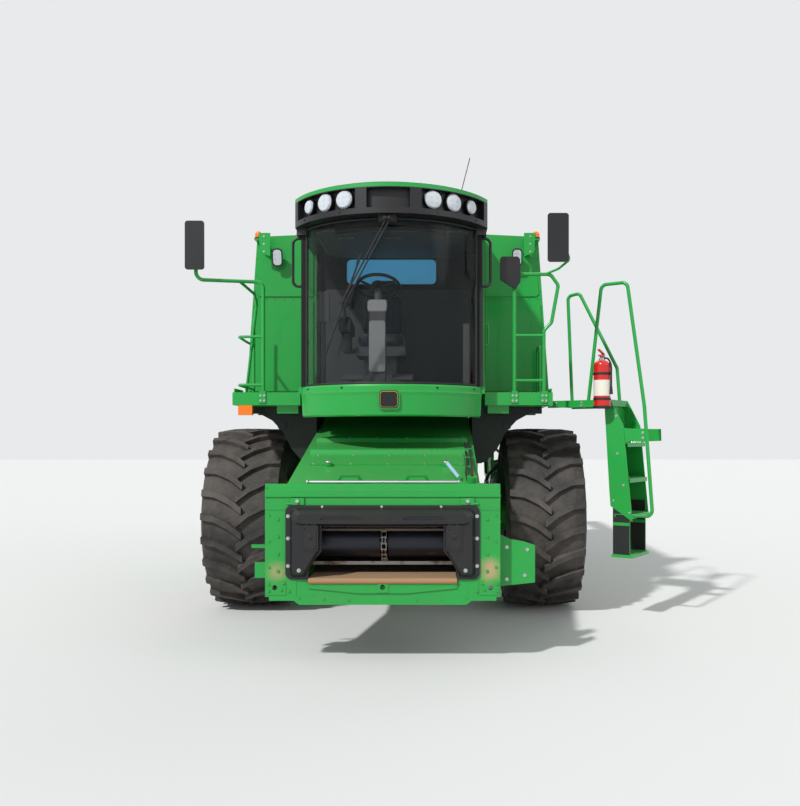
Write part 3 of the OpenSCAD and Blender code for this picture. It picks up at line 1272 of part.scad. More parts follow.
// A pair of side plates at the distance x from the strand's middle.
module chain_link(x) {
  l = link_pitch / 2 + 12;
  for (side = [-1, 1]) translate([side * x - 3, chain_r, 0]) rotate([90, 0, 90]) linear_extrude(6)
    polygon([[-11, -l + 8], [-5, -l], [5, -l], [11, -l + 8], [11, l - 8], [5, l], [-5, l], [-11, l - 8]]);
}

// A folded slat across the three strands, at the top of the chain's path.
module chain_slat() {
  translate([0, chain_r + 8, 0]) side_profile([[0, -26], [26, -26], [26, -18], [8, -18], [8, 18], [26,
      18], [26, 26], [0, 26]], -650, 650);
}

module feeder_drum() color(BLACK) home() {
  translate([0, drum_y, drum_z]) rotate([0, 90, 0]) {
    for (side = [-1, 1]) scale([1, 1, side]) {
      translate([0, 0, 36]) cylinder(h = 580, r = drum_r - 4);
      for (x = [34, 600]) translate([0, 0, x]) cylinder(h = 12, r = drum_r);
    }
    cylinder(h = 80, r = 60, center = true);
    cylinder(h = 2 * (feeder_inner - gap), r = 35, center = true);
  }
}

module lift_barrels() color(BLACK) home() {
  for (side = [-1, 1]) translate([side * lift_x, 0, 0]) lift_barrel();
}

module lift_barrel() {
  difference() {
    union() {
      rod([0, lift_foot[0] - 80, lift_foot[1]], [0, lift_mid_y, lift_foot[1]], lift_r);
      rod([0, lift_mid_y + 60, lift_foot[1]], [0, lift_mid_y, lift_foot[1]], lift_r + 8);
      rod([0, lift_foot[0], lift_foot[1]], [0, lift_foot[0] - 100, lift_foot[1]], 44);
      rod([-48, lift_foot[0], lift_foot[1]], [48, lift_foot[0], lift_foot[1]], 48);
    }
    rod([-60, lift_foot[0], lift_foot[1]], [60, lift_foot[0], lift_foot[1]], 22 + gap);
    rod([0, lift_mid_y + 600, lift_foot[1]], [0, lift_mid_y - 1, lift_foot[1]], 30 + gap);
  }
}

module lift_rods() color(STEEL) home() {
  for (side = [-1, 1]) translate([side * lift_x, 0, 0]) difference() {
    union() {
      rod([0, lift_mid_y + 450, lift_foot[1]], [0, lift_eye[0], lift_eye[1]], 30);
      rod([-38, lift_eye[0], lift_eye[1]], [38, lift_eye[0], lift_eye[1]], 46);
    }
    rod([-50, lift_eye[0], lift_eye[1]], [50, lift_eye[0], lift_eye[1]], eye_r);
  }
}

module rear_axle() color(GREEN) home() {
  difference() {
    union() {
      block([-kingpin_x, rear_axle_y - 110, rear_tyre_r - 90], [kingpin_x, rear_axle_y + 110,
          rear_tyre_r + 110]);
      both_sides() translate([kingpin_x, rear_axle_y, rear_tyre_r - 110]) cylinder(h = 220, r = 90);
    }
    both_sides() {
      block([kingpin_x - 40, rear_axle_y - 120, rear_tyre_r - 91], [kingpin_x + 1, rear_axle_y - 70,
          rear_tyre_r + 111]);
      block([kingpin_x - 40, rear_axle_y + 70, rear_tyre_r - 91], [kingpin_x + 1, rear_axle_y + 120,
          rear_tyre_r + 111]);
      translate([kingpin_x, rear_axle_y, rear_tyre_r - 111]) cylinder(h = 222, r = 45 + gap);
    }
  }
  block([-160, rear_axle_y - 100, rear_tyre_r + 109], [160, rear_axle_y + 100, 1180]);
}

module knuckle() {
  translate([kingpin_x, rear_axle_y, rear_tyre_r]) {
    translate([0, 0, -150]) cylinder(h = 300, r = 45);
    for (z = [-150, 110 + gap]) translate([0, 0, z]) {
      cylinder(h = 40 - gap, r = 80);
      translate([0, -60, 0]) cube([140, 120, 40 - gap]);
    }
    block([105, -60, -150], [140, 60, 150]);
    rotate([0, 90, 0]) translate([0, 0, 139])
        cylinder(h = rear_track - kingpin_x + rear_disc - gap - 139, r = 60);
    block([-70, 0, -150], [0, 250, -110 - gap]);
  }
}

module knuckle_left() color(GREEN) home() knuckle();
module knuckle_right() color(GREEN) home() mirror([1, 0, 0]) knuckle();

module tie_rod() color(STEEL) home() {
  x = kingpin_x - 40;
  y = rear_axle_y + 215;
  z = rear_tyre_r - 110;
  rod([-x, y, z + 25], [x, y, z + 25], 20);
  both_sides() translate([x, y, z]) cylinder(h = 50, r = 34);
}

module front_tyre_left() color(RUBBER) home() translate([front_track, 0, axle_z])
  tyre(front_tyre_r, front_tyre_w, front_rim_r, lugs);
module front_tyre_right() color(RUBBER) home() translate([-front_track, 0, axle_z])
  tyre(front_tyre_r, front_tyre_w, front_rim_r, lugs);
module front_rim_left() color(YELLOW) home() translate([front_track, 0, axle_z])
  rim(front_rim_r, front_tyre_w, front_disc, 150);
module front_rim_right() color(YELLOW) home() translate([-front_track, 0, axle_z]) mirror([1, 0, 0])
  rim(front_rim_r, front_tyre_w, front_disc, 150);
module rear_tyre_left() color(RUBBER) home() translate([rear_track, rear_axle_y, rear_tyre_r])
  tyre(rear_tyre_r, rear_tyre_w, rear_rim_r, rear_lugs);
module rear_tyre_right() color(RUBBER) home() translate([-rear_track, rear_axle_y, rear_tyre_r])
  tyre(rear_tyre_r, rear_tyre_w, rear_rim_r, rear_lugs);
module rear_rim_left() color(YELLOW) home() translate([rear_track, rear_axle_y, rear_tyre_r])
  rim(rear_rim_r, rear_tyre_w, rear_disc, 90);
module rear_rim_right() color(YELLOW) home() translate([-rear_track, rear_axle_y, rear_tyre_r])
    mirror([1, 0, 0])
  rim(rear_rim_r, rear_tyre_w, rear_disc, 90);

main_frame();
front_axle();
separator_body();
cleaning_shoe();
rear_hood();
chopper_rotor();
spreader_left();
spreader_right();
grain_elevator();
grain_tank();
tank_lid_left();
tank_lid_right();
engine_house();
engine_block();
rotary_screen();
exhaust_stack();
side_shield_left();
side_shield_right();
rear_ladder();
rear_lamps();
auger_elbow();
auger_tube();
cab_shell();
cab_roof();
roof_lamps();
windscreen();
cab_glass();
cab_door();
cab_skirt();
cab_interior();
operator_seat();
steering_wheel();
wiper();
grab_handles();
whip_antenna();
platform_left();
platform_right();
mirrors();
corner_beacons();
ladder();
extinguisher();
feeder_house();
feeder_face();
feeder_shroud();
feeder_chain();
feeder_drum();
lift_barrels();
lift_rods();
front_tyre_left();
front_tyre_right();
front_rim_left();
front_rim_right();
rear_tyre_left();
rear_tyre_right();
rear_rim_left();
rear_rim_right();
rear_axle();
knuckle_left();
knuckle_right();
tie_rod();
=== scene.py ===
"""Looks of a combine harvester: finishes, small fittings, soft seat, stage, lights and camera."""

import logging
import math
from dataclasses import dataclass, field
from enum import Enum
from typing import Mapping, Sequence, Union

import bmesh
import bpy
from mathutils import Matrix, Vector


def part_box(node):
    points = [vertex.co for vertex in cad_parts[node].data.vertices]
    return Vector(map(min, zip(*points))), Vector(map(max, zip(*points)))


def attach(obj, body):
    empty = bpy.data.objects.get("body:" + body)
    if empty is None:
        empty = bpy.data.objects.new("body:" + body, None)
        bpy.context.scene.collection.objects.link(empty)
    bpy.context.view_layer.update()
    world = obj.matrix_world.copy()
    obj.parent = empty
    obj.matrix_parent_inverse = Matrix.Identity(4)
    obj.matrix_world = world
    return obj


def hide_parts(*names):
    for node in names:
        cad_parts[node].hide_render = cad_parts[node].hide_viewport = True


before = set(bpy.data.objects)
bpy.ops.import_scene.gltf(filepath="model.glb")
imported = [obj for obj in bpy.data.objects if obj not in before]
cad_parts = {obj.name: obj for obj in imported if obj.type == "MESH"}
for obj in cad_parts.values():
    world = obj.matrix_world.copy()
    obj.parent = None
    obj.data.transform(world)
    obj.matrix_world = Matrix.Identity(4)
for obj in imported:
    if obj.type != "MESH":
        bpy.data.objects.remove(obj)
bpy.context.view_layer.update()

log = logging.getLogger("combine")

Number = Union[int, float]
Colour = tuple[float, float, float]
Point = tuple[float, float, float]

PHOTO_SIZE = (800, 806)
# The photo's focal length and the shift of its frame, both in pixels.
PHOTO_FOCAL = 870
PHOTO_SHIFT = (-35.6, 35.0)
# The camera's place: across from the centre plane, ahead of the front axle and above the ground, in metres.
CAMERA_PLACE = (0.405, 9.25, 1.75)
SENSOR_MM = 36


def srgb(red: int, green: int, blue: int) -> Colour:
    """Turns a screen colour into the linear one that shaders use.

    Args:
        red: Red from 0 to 255.
        green: Green from 0 to 255.
        blue: Blue from 0 to 255.

    Returns:
        The linear colour.
    """
    def linear(level: int) -> float:
        """Gives one channel's linear level."""
        part = level / 255
        return part / 12.92 if part <= 0.04045 else ((part + 0.055) / 1.055) ** 2.4
    return linear(red), linear(green), linear(blue)


# ---- the machine's own coordinates

def centre_plane() -> float:
    """Gives X of the machine's centre plane, midway between the front tyres."""
    left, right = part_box("front_tyre_left"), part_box("front_tyre_right")
    return (left[1][0] + right[0][0]) / 2


def front_axle() -> float:
    """Gives Y of the front axle."""
    low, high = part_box("front_tyre_left")
    return (low[1] + high[1]) / 2


HOME = Vector((centre_plane(), front_axle(), 0))

# Sizes that the source has too, in millimetres from the front axle at the centre plane.
CAB_Y, SCREEN_R, PILLAR_X = -744.1, 936.0, 800.0
SCREEN_Y = CAB_Y - SCREEN_R
FLOOR_Z, GLASS_TOP = 2220.0, 3670.0
ROOF_Y, ROOF_R = CAB_Y - 120, SCREEN_R + 40
FRONT_Y, FACE_Z, FACE_TOP = -2600.0, 474.0, 1398.0
SHROUD_Z = FACE_Z + 479
HOUSE_Y, TOP_SLOPE = FRONT_Y + 60, (2010 - 1398 + 20) / 2590
OPERATOR_X = -130.0
DECK_Z, DECK_FRONT = 2180.0, -1050.0
HINGE = Vector((1550, -575, 0))
LADDER_TURN = math.radians(-34)
TANK_Y, TANK_TOP = 50.0, 3900.0
HOOD_Y = 4310.0


def metres(point: Sequence[float]) -> Vector:
    """Turns a place in the machine's millimetres into one in the scene."""
    return HOME + Vector(point) * 0.001


def on_feeder_top(x: float, y: float, up: float = 0.0) -> Vector:
    """Gives the place that lies that far above the feeder house's top."""
    z = FACE_TOP - 20 + (y - HOUSE_Y) * TOP_SLOPE
    return Vector((x, y, z)) + feeder_up() * up


def feeder_up() -> Vector:
    """Gives the direction square to the feeder house's top."""
    return Vector((0, -TOP_SLOPE, 1)).normalized()


def on_ladder(n: float, t: float, z: float) -> Vector:
    """Turns a place along and across the swung ladder into the machine's millimetres."""
    return HINGE + Matrix.Rotation(LADDER_TURN, 3, "Z") @ Vector((n, t, z))


# ---- shader expressions

class Signal:
    """A shader value. Arithmetic on it adds Math nodes to its material."""

    def __init__(self, shade: "Shade", socket: bpy.types.NodeSocket) -> None:
        """Keeps the material and the socket that the value comes from."""
        self.shade = shade
        self.socket = socket

    def math(self, operation: str, *others: "Value", first: "Value | None" = None) -> "Signal":
        """Adds one Math node.

        Args:
            operation: The node's operation.
            others: The values after this one.
            first: A value that takes this one's place, which then comes second.

        Returns:
            The node's result.
        """
        values = [self, *others] if first is None else [first, self, *others]
        node = self.shade.add("ShaderNodeMath", {"operation": operation}, dict(enumerate(values)))
        return Signal(self.shade, node.outputs[0])

    def __add__(self, other: "Value") -> "Signal":
        """Adds."""
        return self.math("ADD", other)

    def __radd__(self, other: "Value") -> "Signal":
        """Adds to a number."""
        return self.math("ADD", other)

    def __sub__(self, other: "Value") -> "Signal":
        """Subtracts."""
        return self.math("SUBTRACT", other)

    def __rsub__(self, other: "Value") -> "Signal":
        """Subtracts from a number."""
        return self.math("SUBTRACT", first=other)

    def __mul__(self, other: "Value") -> "Signal":
        """Multiplies."""
        return self.math("MULTIPLY", other)

    def __rmul__(self, other: "Value") -> "Signal":
        """Multiplies a number."""
        return self.math("MULTIPLY", other)

    def __truediv__(self, other: "Value") -> "Signal":
        """Divides."""
        return self.math("DIVIDE", other)

    def __pow__(self, other: "Value") -> "Signal":
        """Raises to a power."""
        return self.math("POWER", other)

    def __gt__(self, other: "Value") -> "Signal":
        """Gives 1 where this value is greater, else 0."""
        return self.math("GREATER_THAN", other)

    def __lt__(self, other: "Value") -> "Signal":
        """Gives 1 where this value is less, else 0."""
        return self.math("LESS_THAN", other)

    def clamped(self) -> "Signal":
        """Limits the value to 0 and 1."""
        return self.math("MINIMUM", 1.0).math("MAXIMUM", 0.0)

    def rise(self, low: float, high: float) -> "Signal":
        """Goes smoothly from 0 at low to 1 at high.

        Args:
            low: The value at which the rise starts.
            high: The value at which it ends.

        Returns:
            The level.
        """
        node = self.shade.add("ShaderNodeMapRange", {"interpolation_type": "SMOOTHSTEP"},
                              {0: self, 1: low, 2: high, 3: 0.0, 4: 1.0})
        return Signal(self.shade, node.outputs[0])


Value = Union[Signal, Number, Colour, tuple[float, float, float, float]]


class Shade:
    """A material under construction, with its Principled shader."""

    def __init__(self, name: str) -> None:
        """Makes an empty material of that name."""
        self.material = bpy.data.materials.new(name)
        self.material.use_nodes = True
        self.tree = self.material.node_tree
        self.shader = self.tree.nodes["Principled BSDF"]
        self.place = Signal(self, self.add("ShaderNodeTexCoord").outputs["Object"])

    def add(self, kind: str, settings: Mapping[str, object] | None = None,
            sockets: "Mapping[int | str, Value] | None" = None) -> bpy.types.ShaderNode:
        """Adds a node.

        Args:
            kind: The node's type.
            settings: Its own settings, which are set first; stops is a ramp's list of (place, level).
            sockets: Values or links for its inputs, by index or name.

        Returns:
            The node.
        """
        node = self.tree.nodes.new(kind)
        for key, value in (settings or {}).items():
            if key == "stops":
                while len(node.color_ramp.elements) < len(value):
                    node.color_ramp.elements.new(0.5)
                for element, (place, level) in zip(node.color_ramp.elements, value):
                    element.position = place
                    element.color = (level, level, level, 1)
            else:
                setattr(node, key, value)
        for key, value in (sockets or {}).items():
            self.feed(node.inputs[key], value)
        return node

    def feed(self, socket: bpy.types.NodeSocket, value: Value) -> None:
        """Links a signal to a socket, or sets the socket's own value."""
        if isinstance(value, Signal):
            self.tree.links.new(value.socket, socket)
        elif isinstance(value, tuple) and len(value) == 3 and socket.type == "RGBA":
            socket.default_value = (*value, 1)
        else:
            socket.default_value = value

    def noise(self, scale: float, detail: float = 3.0, rough: float = 0.55,
              stretch: Point = (1, 1, 1), distort: float = 0.0) -> Signal:
        """Adds noise on the object's own coordinates.

        Args:
            scale: How many cells lie in a metre.
            detail: Octaves of finer noise.
            rough: Share of the finer octaves.
            stretch: Scale of the coordinates along each axis.
            distort: How much the cells are bent.

        Returns:
            The noise, about 0 to 1.
        """
        node = self.add("ShaderNodeTexNoise", None, {
            "Vector": self.scaled(stretch), "Scale": scale, "Detail": detail, "Roughness": rough,
            "Distortion": distort})
        return Signal(self, node.outputs[0])

    def scaled(self, stretch: Point) -> Signal:
        """Gives the object's coordinates, stretched."""
        if tuple(stretch) == (1, 1, 1):
            return self.place
        node = self.add("ShaderNodeVectorMath", {"operation": "MULTIPLY"}, {0: self.place, 1: stretch})
        return Signal(self, node.outputs[0])

    def axis(self, index: int) -> Signal:
        """Gives one of the object's coordinates, in metres."""
        return Signal(self, self.add("ShaderNodeSeparateXYZ", None, {0: self.place}).outputs[index])

    def upward(self) -> Signal:
        """Gives 1 where the surface faces straight up and -1 where it faces down."""
        normal = self.add("ShaderNodeTexCoord").outputs["Normal"]
        return Signal(self, self.add("ShaderNodeSeparateXYZ", None, {0: Signal(self, normal)}).outputs[2])

    def blend(self, mask: Value, under: Value, over: Value) -> Signal:
        """Mixes two colours.

        Args:
            mask: 0 gives the first colour, 1 the second.
            under: The first colour.
            over: The second colour.

        Returns:
            The mixed colour.
        """
        node = self.add("ShaderNodeMix", {"data_type": "RGBA"}, {0: mask, 6: under, 7: over})
        return Signal(self, node.outputs[2])

    def bump(self, height: Signal, depth: float, before: "Signal | None" = None) -> Signal:
        """Adds a Bump node.

        Args:
            height: The height, 0 to 1.
            depth: Metres that a height of 1 stands for.
            before: A bump that this one comes on top of.

        Returns:
            The bent normal.
        """
        sockets: dict[str, Value] = {"Height": height, "Strength": 1.0, "Distance": depth}
        if before is not None:
            sockets["Normal"] = before
        return Signal(self, self.add("ShaderNodeBump", None, sockets).outputs[0])

    def finish(self, **values: Value) -> bpy.types.Material:
        """Sets the Principled shader's sockets, with _ for a space, and returns the material."""
        for key, value in values.items():
            self.feed(self.shader.inputs[key.replace("_", " ")], value)
        return self.material


# ---- finishes

DUST = srgb(150, 132, 106)
SOIL = srgb(92, 76, 60)


class Grime(Enum):
    """How much field dust lies on a finish: on its faces, and more where they look up."""

    CLEAN = (0.02, 0.04)
    LIGHT = (0.05, 0.12)
    CAKED = (0.30, 0.50)


@dataclass(frozen=True)
class Zone:
    """A box of a node that has a colour of its own, in the machine's millimetres; on glass, a glow of painted sky
    light.
    """

    low: Point
    high: Point
    colour: Colour
    metallic: float = 0.0
    roughness: float = 0.5
    soft: float = 2.0

    def mask(self, shade: Shade, ragged: "Signal | None" = None) -> Signal:
        """Gives 1 inside the box and 0 outside it.

        Args:
            shade: The material.
            ragged: Noise that the box's edges follow.

        Returns:
            The level.
        """
        level = None
        for index, (low, high) in enumerate(zip(self.low, self.high)):
            middle = HOME[index] + (low + high) / 2000
            half = (high - low) / 2000
            off = (shade.axis(index) - middle).math("ABSOLUTE")
            if ragged is not None:
                off = off + ragged * (self.soft / 1000)
            inside = 1 - off.rise(half, half + self.soft / 1000)
            level = inside if level is None else level * inside
        return level


@dataclass(frozen=True)
class Paint:
    """Sprayed enamel with dust, faint stains and chips down to the primer."""

    name: str
    colour: Colour
    grime: Grime = Grime.LIGHT
    roughness: float = 0.34
    chips: float = 0.0
    coat: float = 0.35
    zones: tuple[Zone, ...] = ()

    def make(self) -> bpy.types.Material:
        """Builds the material."""
        shade = Shade(self.name)
        cloud = shade.noise(1.7, 4, 0.6)
        fine = shade.noise(34, 3, 0.6)
        streak = shade.noise(9, 3, 0.6, stretch=(1, 1, 0.12))
        faces, tops = self.grime.value
        up = shade.upward().rise(0.25, 0.9)
        low = 1 - shade.axis(2).rise(0.5, 2.6)
        dust = ((cloud.rise(0.35, 0.75) * 0.6 + streak.rise(0.45, 0.8) * 0.5 + low * 0.5) * faces
                + up * tops * (0.4 + fine * 0.8)).clamped()
        paint = shade.blend(cloud.rise(0.3, 0.7) * 0.5, self.colour,
                            tuple(level * 0.86 for level in self.colour))
        if self.chips:
            spots = shade.noise(21, 5, 0.7).rise(0.70 - self.chips * 0.12, 0.74 - self.chips * 0.12)
            paint = shade.blend(spots * 0.8, paint, srgb(84, 66, 52))
        rough, metal, bare = self.roughness + fine * 0.10, 0.0, 1.0
        for zone in self.zones:
            mask = zone.mask(shade, cloud if zone.soft > 5 else None)
            paint = shade.blend(mask, paint, shade.blend(cloud.rise(0.3, 0.7) * 0.6, zone.colour, tuple(
                level * 0.6 for level in zone.colour)))
            metal = mask * zone.metallic + metal * (1 - mask)
            rough = rough + mask * (zone.roughness - self.roughness)
            bare = (1 - mask) * bare
        colour = shade.blend(dust, paint, DUST)
        peel = shade.bump(shade.noise(260, 1, 0.5), 0.00012)
        return shade.finish(Base_Color=colour, Roughness=(rough + dust * 0.45).clamped(), Metallic=metal,
                            Normal=shade.bump(dust * fine, 0.0006, peel),
                            Coat_Weight=(self.coat * (1 - dust) * bare).clamped(), Coat_Roughness=0.12,
                            Specular_IOR_Level=0.3)


@dataclass(frozen=True)
class Plastic:
    """Moulded plastic with a fine grain, dusty in its hollows."""

    name: str
    colour: Colour
    grime: Grime = Grime.LIGHT
    roughness: float = 0.42
    grain: float = 0.0002
    zones: tuple[Zone, ...] = ()

    def make(self) -> bpy.types.Material:
        """Builds the material."""
        shade = Shade(self.name)
        grain = shade.noise(520, 2, 0.6)
        cloud = shade.noise(2.6, 4, 0.6)
        scuffs = shade.noise(26, 5, 0.72, stretch=(0.4, 1, 1), distort=0.5).rise(0.62, 0.78)
        faces, tops = self.grime.value
        dust = (cloud.rise(0.35, 0.75) * faces + shade.upward().rise(0.3, 0.95) * tops * (0.4 + cloud * 0.7)
                + scuffs * faces).clamped()
        plain, rough = self.colour, self.roughness + grain * 0.08 + dust * 0.4
        for zone in self.zones:
            mask = zone.mask(shade)
            plain = shade.blend(mask, plain, zone.colour)
            rough = rough + mask * (zone.roughness - self.roughness)
        return shade.finish(Base_Color=shade.blend(dust * 0.8, plain, DUST), Roughness=rough.clamped(),
                            Normal=shade.bump(grain, self.grain))


@dataclass(frozen=True)
class Rubber:
    """Tyre rubber with dried soil between the lugs."""

    name: str
    colour: Colour = srgb(44, 42, 41)
    soil: float = 0.75

    def make(self) -> bpy.types.Material:
        """Builds the material."""
        shade = Shade(self.name)
        cloud = shade.noise(3.0, 5, 0.65)
        clods = shade.noise(46, 4, 0.7)
        pores = shade.noise(300, 2, 0.6)
        dust = ((cloud.rise(0.36, 0.72) * 0.62 + clods.rise(0.55, 0.75) * 0.35) * self.soil).clamped()
        colour = shade.blend(dust, self.colour, srgb(112, 104, 98))
        rim = shade.noise(0.9, 3, 0.5).rise(0.4, 0.7) * 0.2
        colour = shade.blend(rim * clods.rise(0.4, 0.6), colour, SOIL)
        normal = shade.bump(clods, 0.0010, shade.bump(pores, 0.0004))
        return shade.finish(Base_Color=colour, Roughness=(0.72 + dust * 0.22).clamped(), Normal=normal)


@dataclass(frozen=True)
class Metal:
    """Bare metal, from bright steel to rusted plate."""

    name: str
    colour: Colour
    rust: float = 0.15
    roughness: float = 0.36
    metallic: float = 1.0

    def make(self) -> bpy.types.Material:
        """Builds the material."""
        shade = Shade(self.name)
        brushed = shade.noise(60, 2, 0.6, stretch=(0.15, 1, 1))
        patch = shade.noise(7, 5, 0.72)
        pits = shade.noise(130, 3, 0.7)
        rust = (patch.rise(0.62 - self.rust * 0.4, 0.82 - self.rust * 0.4) * (0.6 + pits * 0.5)).clamped()
        browned = shade.blend(pits.rise(0.35, 0.7), srgb(96, 58, 36), srgb(136, 92, 60))
        colour = shade.blend(rust, self.colour, browned)
        return shade.finish(Base_Color=colour, Metallic=(self.metallic * (1 - rust)).clamped(),
                            Roughness=(self.roughness + brushed * 0.14 + rust * 0.4).clamped(),
                            Normal=shade.bump(pits * rust + brushed * 0.2, 0.0004))


@dataclass(frozen=True)
class Glass:
    """Tinted sheet glass with a thin film of dust; inside its zones it glows in their colour as painted sky light."""

    name: str
    colour: Colour
    see_through: float = 0.7
    roughness: float = 0.04
    zones: tuple[Zone, ...] = ()

    def make(self) -> bpy.types.Material:
        """Builds the material."""
        shade = Shade(self.name)
        film = shade.noise(5, 5, 0.7)
        speck = shade.noise(90, 2, 0.5).rise(0.62, 0.75)
        dust = (film.rise(0.45, 0.8) * 0.035 + speck * 0.02).clamped()
        solid, colour, sky = 1 - self.see_through + dust, self.colour, (0.0, 0.0, 0.0)
        # Inside each zone the pane takes the zone's colour and glows with it: painted sky light, though the pane is
        # no lamp.
        for zone in self.zones:
            mask = zone.mask(shade)
            colour, sky = shade.blend(mask, colour, zone.colour), shade.blend(mask, sky, zone.colour)
            solid = solid + mask * 0.7
        return shade.finish(Base_Color=shade.blend(dust, colour, DUST), Roughness=(self.roughness + dust).clamped(),
                            Alpha=solid.clamped(), Emission_Color=sky, Emission_Strength=0.45, IOR=1.5)


@dataclass(frozen=True)
class Lens:
    """A lamp's ribbed plastic or glass lens."""

    name: str
    colour: Colour
    ribs: float = 140.0

    def make(self) -> bpy.types.Material:
        """Builds the material."""
        shade = Shade(self.name)
        ribs = (shade.axis(0) * self.ribs).math("SINE") * 0.5 + 0.5
        bands = (shade.axis(2) * self.ribs).math("SINE") * 0.5 + 0.5
        cells = ribs * bands
        dust = shade.noise(22, 4, 0.6).rise(0.5, 0.8) * 0.25
        colour = shade.blend(cells * 0.3, self.colour, tuple(level * 0.6 for level in self.colour))
        return shade.finish(Base_Color=shade.blend(dust, colour, DUST), Roughness=(0.10 + dust * 0.5).clamped(),
                            Normal=shade.bump(cells, 0.0009), Coat_Weight=0.8)


@dataclass(frozen=True)
class Cloth:
    """Woven seat cloth, on the piece's own coordinates."""

    name: str
    colour: Colour
    thread: float = 900.0

    def make(self) -> bpy.types.Material:
        """Builds the material."""
        shade = Shade(self.name)
        across = (shade.axis(0) * self.thread).math("SINE") * 0.5 + 0.5
        along = ((shade.axis(1) + shade.axis(2)) * self.thread).math("SINE") * 0.5 + 0.5
        weave = across * along
        worn = shade.noise(6, 4, 0.6).rise(0.45, 0.8)
        colour = shade.blend(weave * 0.45, self.colour, tuple(level * 0.5 for level in self.colour))
        return shade.finish(Base_Color=shade.blend(worn * 0.3, colour, DUST), Roughness=0.9,
                            Sheen_Weight=0.35, Normal=shade.bump(weave, 0.0009))


class Finishes:
    """Every finish of the machine, made once and given out by name."""

    LIST = (
        Paint("green_enamel", srgb(20, 156, 62)),
        Paint("cab_enamel", srgb(20, 156, 62), zones=(
            Zone((-900, -1320, 2224), (900, -1100, 3668), srgb(16, 17, 18), 0, 0.35, 1),
            Zone((-838, -1700, 2221), (838, -86, 3668), srgb(34, 36, 37), 0, 0.7, 1))),
        Paint("green_worn", srgb(20, 152, 62), Grime.LIGHT, 0.38, 0.22, 0.3, (
            Zone((-577, -2570, 560), (577, 0, 1195), srgb(92, 88, 84), 0.5, 0.5, 4),
            Zone((-577, -2604, 640), (577, -2580, 1195), srgb(112, 104, 96), 0.5, 0.5, 4),
            Zone((-850, -2700, 680), (-760, -2580, 770), srgb(184, 150, 118), 0.0, 0.85, 110),
            Zone((770, -2700, 680), (860, -2580, 800), srgb(184, 150, 118), 0.0, 0.85, 110))),
        # The frame's green, darkened almost to black as painted shade for the parts under the cab and platforms.
        Paint("shade_darkened_frame_green", srgb(12, 26, 20), Grime.CLEAN, 0.5, 0.1, 0.1),
        Paint("wheel_yellow", srgb(240, 188, 24), Grime.LIGHT, 0.36, 0.1),
        Paint("red_enamel", srgb(204, 26, 24), Grime.CLEAN, 0.22, 0.0, 0.7),
        Plastic("moulded_black", srgb(17, 18, 21), Grime.CLEAN, 0.34),
        Plastic("roof_black", srgb(17, 18, 21), Grime.CLEAN, 0.34, zones=(
            Zone((-1000, -2000, 3898), (1000, 100, 3940), srgb(24, 150, 62), 0, 0.36, 1),)),
        Plastic("matt_black", srgb(15, 16, 17), Grime.CLEAN, 0.6),
        Plastic("gloss_black", srgb(14, 15, 17), Grime.CLEAN, 0.12, 0.00002),
        Plastic("cab_grey", srgb(74, 76, 79), Grime.CLEAN, 0.6, 0.0003),
        Plastic("light_grey", srgb(150, 152, 152), Grime.CLEAN, 0.5),
        Plastic("light_blue_plastic", srgb(142, 178, 196), Grime.CLEAN, 0.4),
        Plastic("pale_label", srgb(226, 220, 206), Grime.CLEAN, 0.45, 0.00003),
        Plastic("hose_rubber", srgb(26, 26, 27), Grime.LIGHT, 0.55),
        Plastic("beacon_parts", srgb(24, 24, 25), Grime.CLEAN, 0.35, 0.0001, (
            Zone((-1700, -1250, 1700), (-1200, -600, 2300), srgb(236, 118, 16), 0, 0.2),
            Zone((1350, -200, 3846), (1620, 60, 4200), srgb(236, 118, 16), 0, 0.16),
            Zone((-1620, -200, 3846), (-1350, 60, 4200), srgb(236, 118, 16), 0, 0.16))),
        Rubber("tyre_rubber"),
        Rubber("tyre_wall", srgb(46, 43, 41), 0.4),
        Metal("bright_steel", srgb(188, 190, 192), 0.08),
        Metal("mirror_glass", srgb(200, 206, 212), 0.0, 0.03),
        Metal("worn_steel", srgb(150, 146, 140), 0.3, 0.45),
        Metal("drum_steel", srgb(50, 52, 60), 0.05, 0.3, 0.7),
        Paint("rusty_plate", srgb(168, 122, 84), Grime.CAKED, 0.75, 0.3, 0.0),
        Metal("exhaust_steel", srgb(150, 140, 128), 0.5, 0.5),
        Metal("cast_iron", srgb(70, 70, 70), 0.2, 0.6, 0.6),
        # The rear pane's zone glows pale blue: painted sky light seen through the rear window.
        Glass("tinted_glass", srgb(18, 26, 29), 0.80, zones=(
            Zone((-560, -72, 3350), (440, -52, 3650), srgb(90, 178, 222)),)),
        Lens("lamp_lens", srgb(196, 204, 210)),
        Lens("amber_lens", srgb(240, 120, 20), 220.0),
        Lens("red_lens", srgb(190, 24, 18), 220.0),
        Cloth("seat_cloth", srgb(34, 40, 58)),
    )

    def __init__(self) -> None:
        """Makes every material of the list."""
        self.materials = {item.name: item.make() for item in self.LIST}

    def __getitem__(self, name: str) -> bpy.types.Material:
        """Gives a material by its name."""
        return self.materials[name]


# ---- the machine's nodes

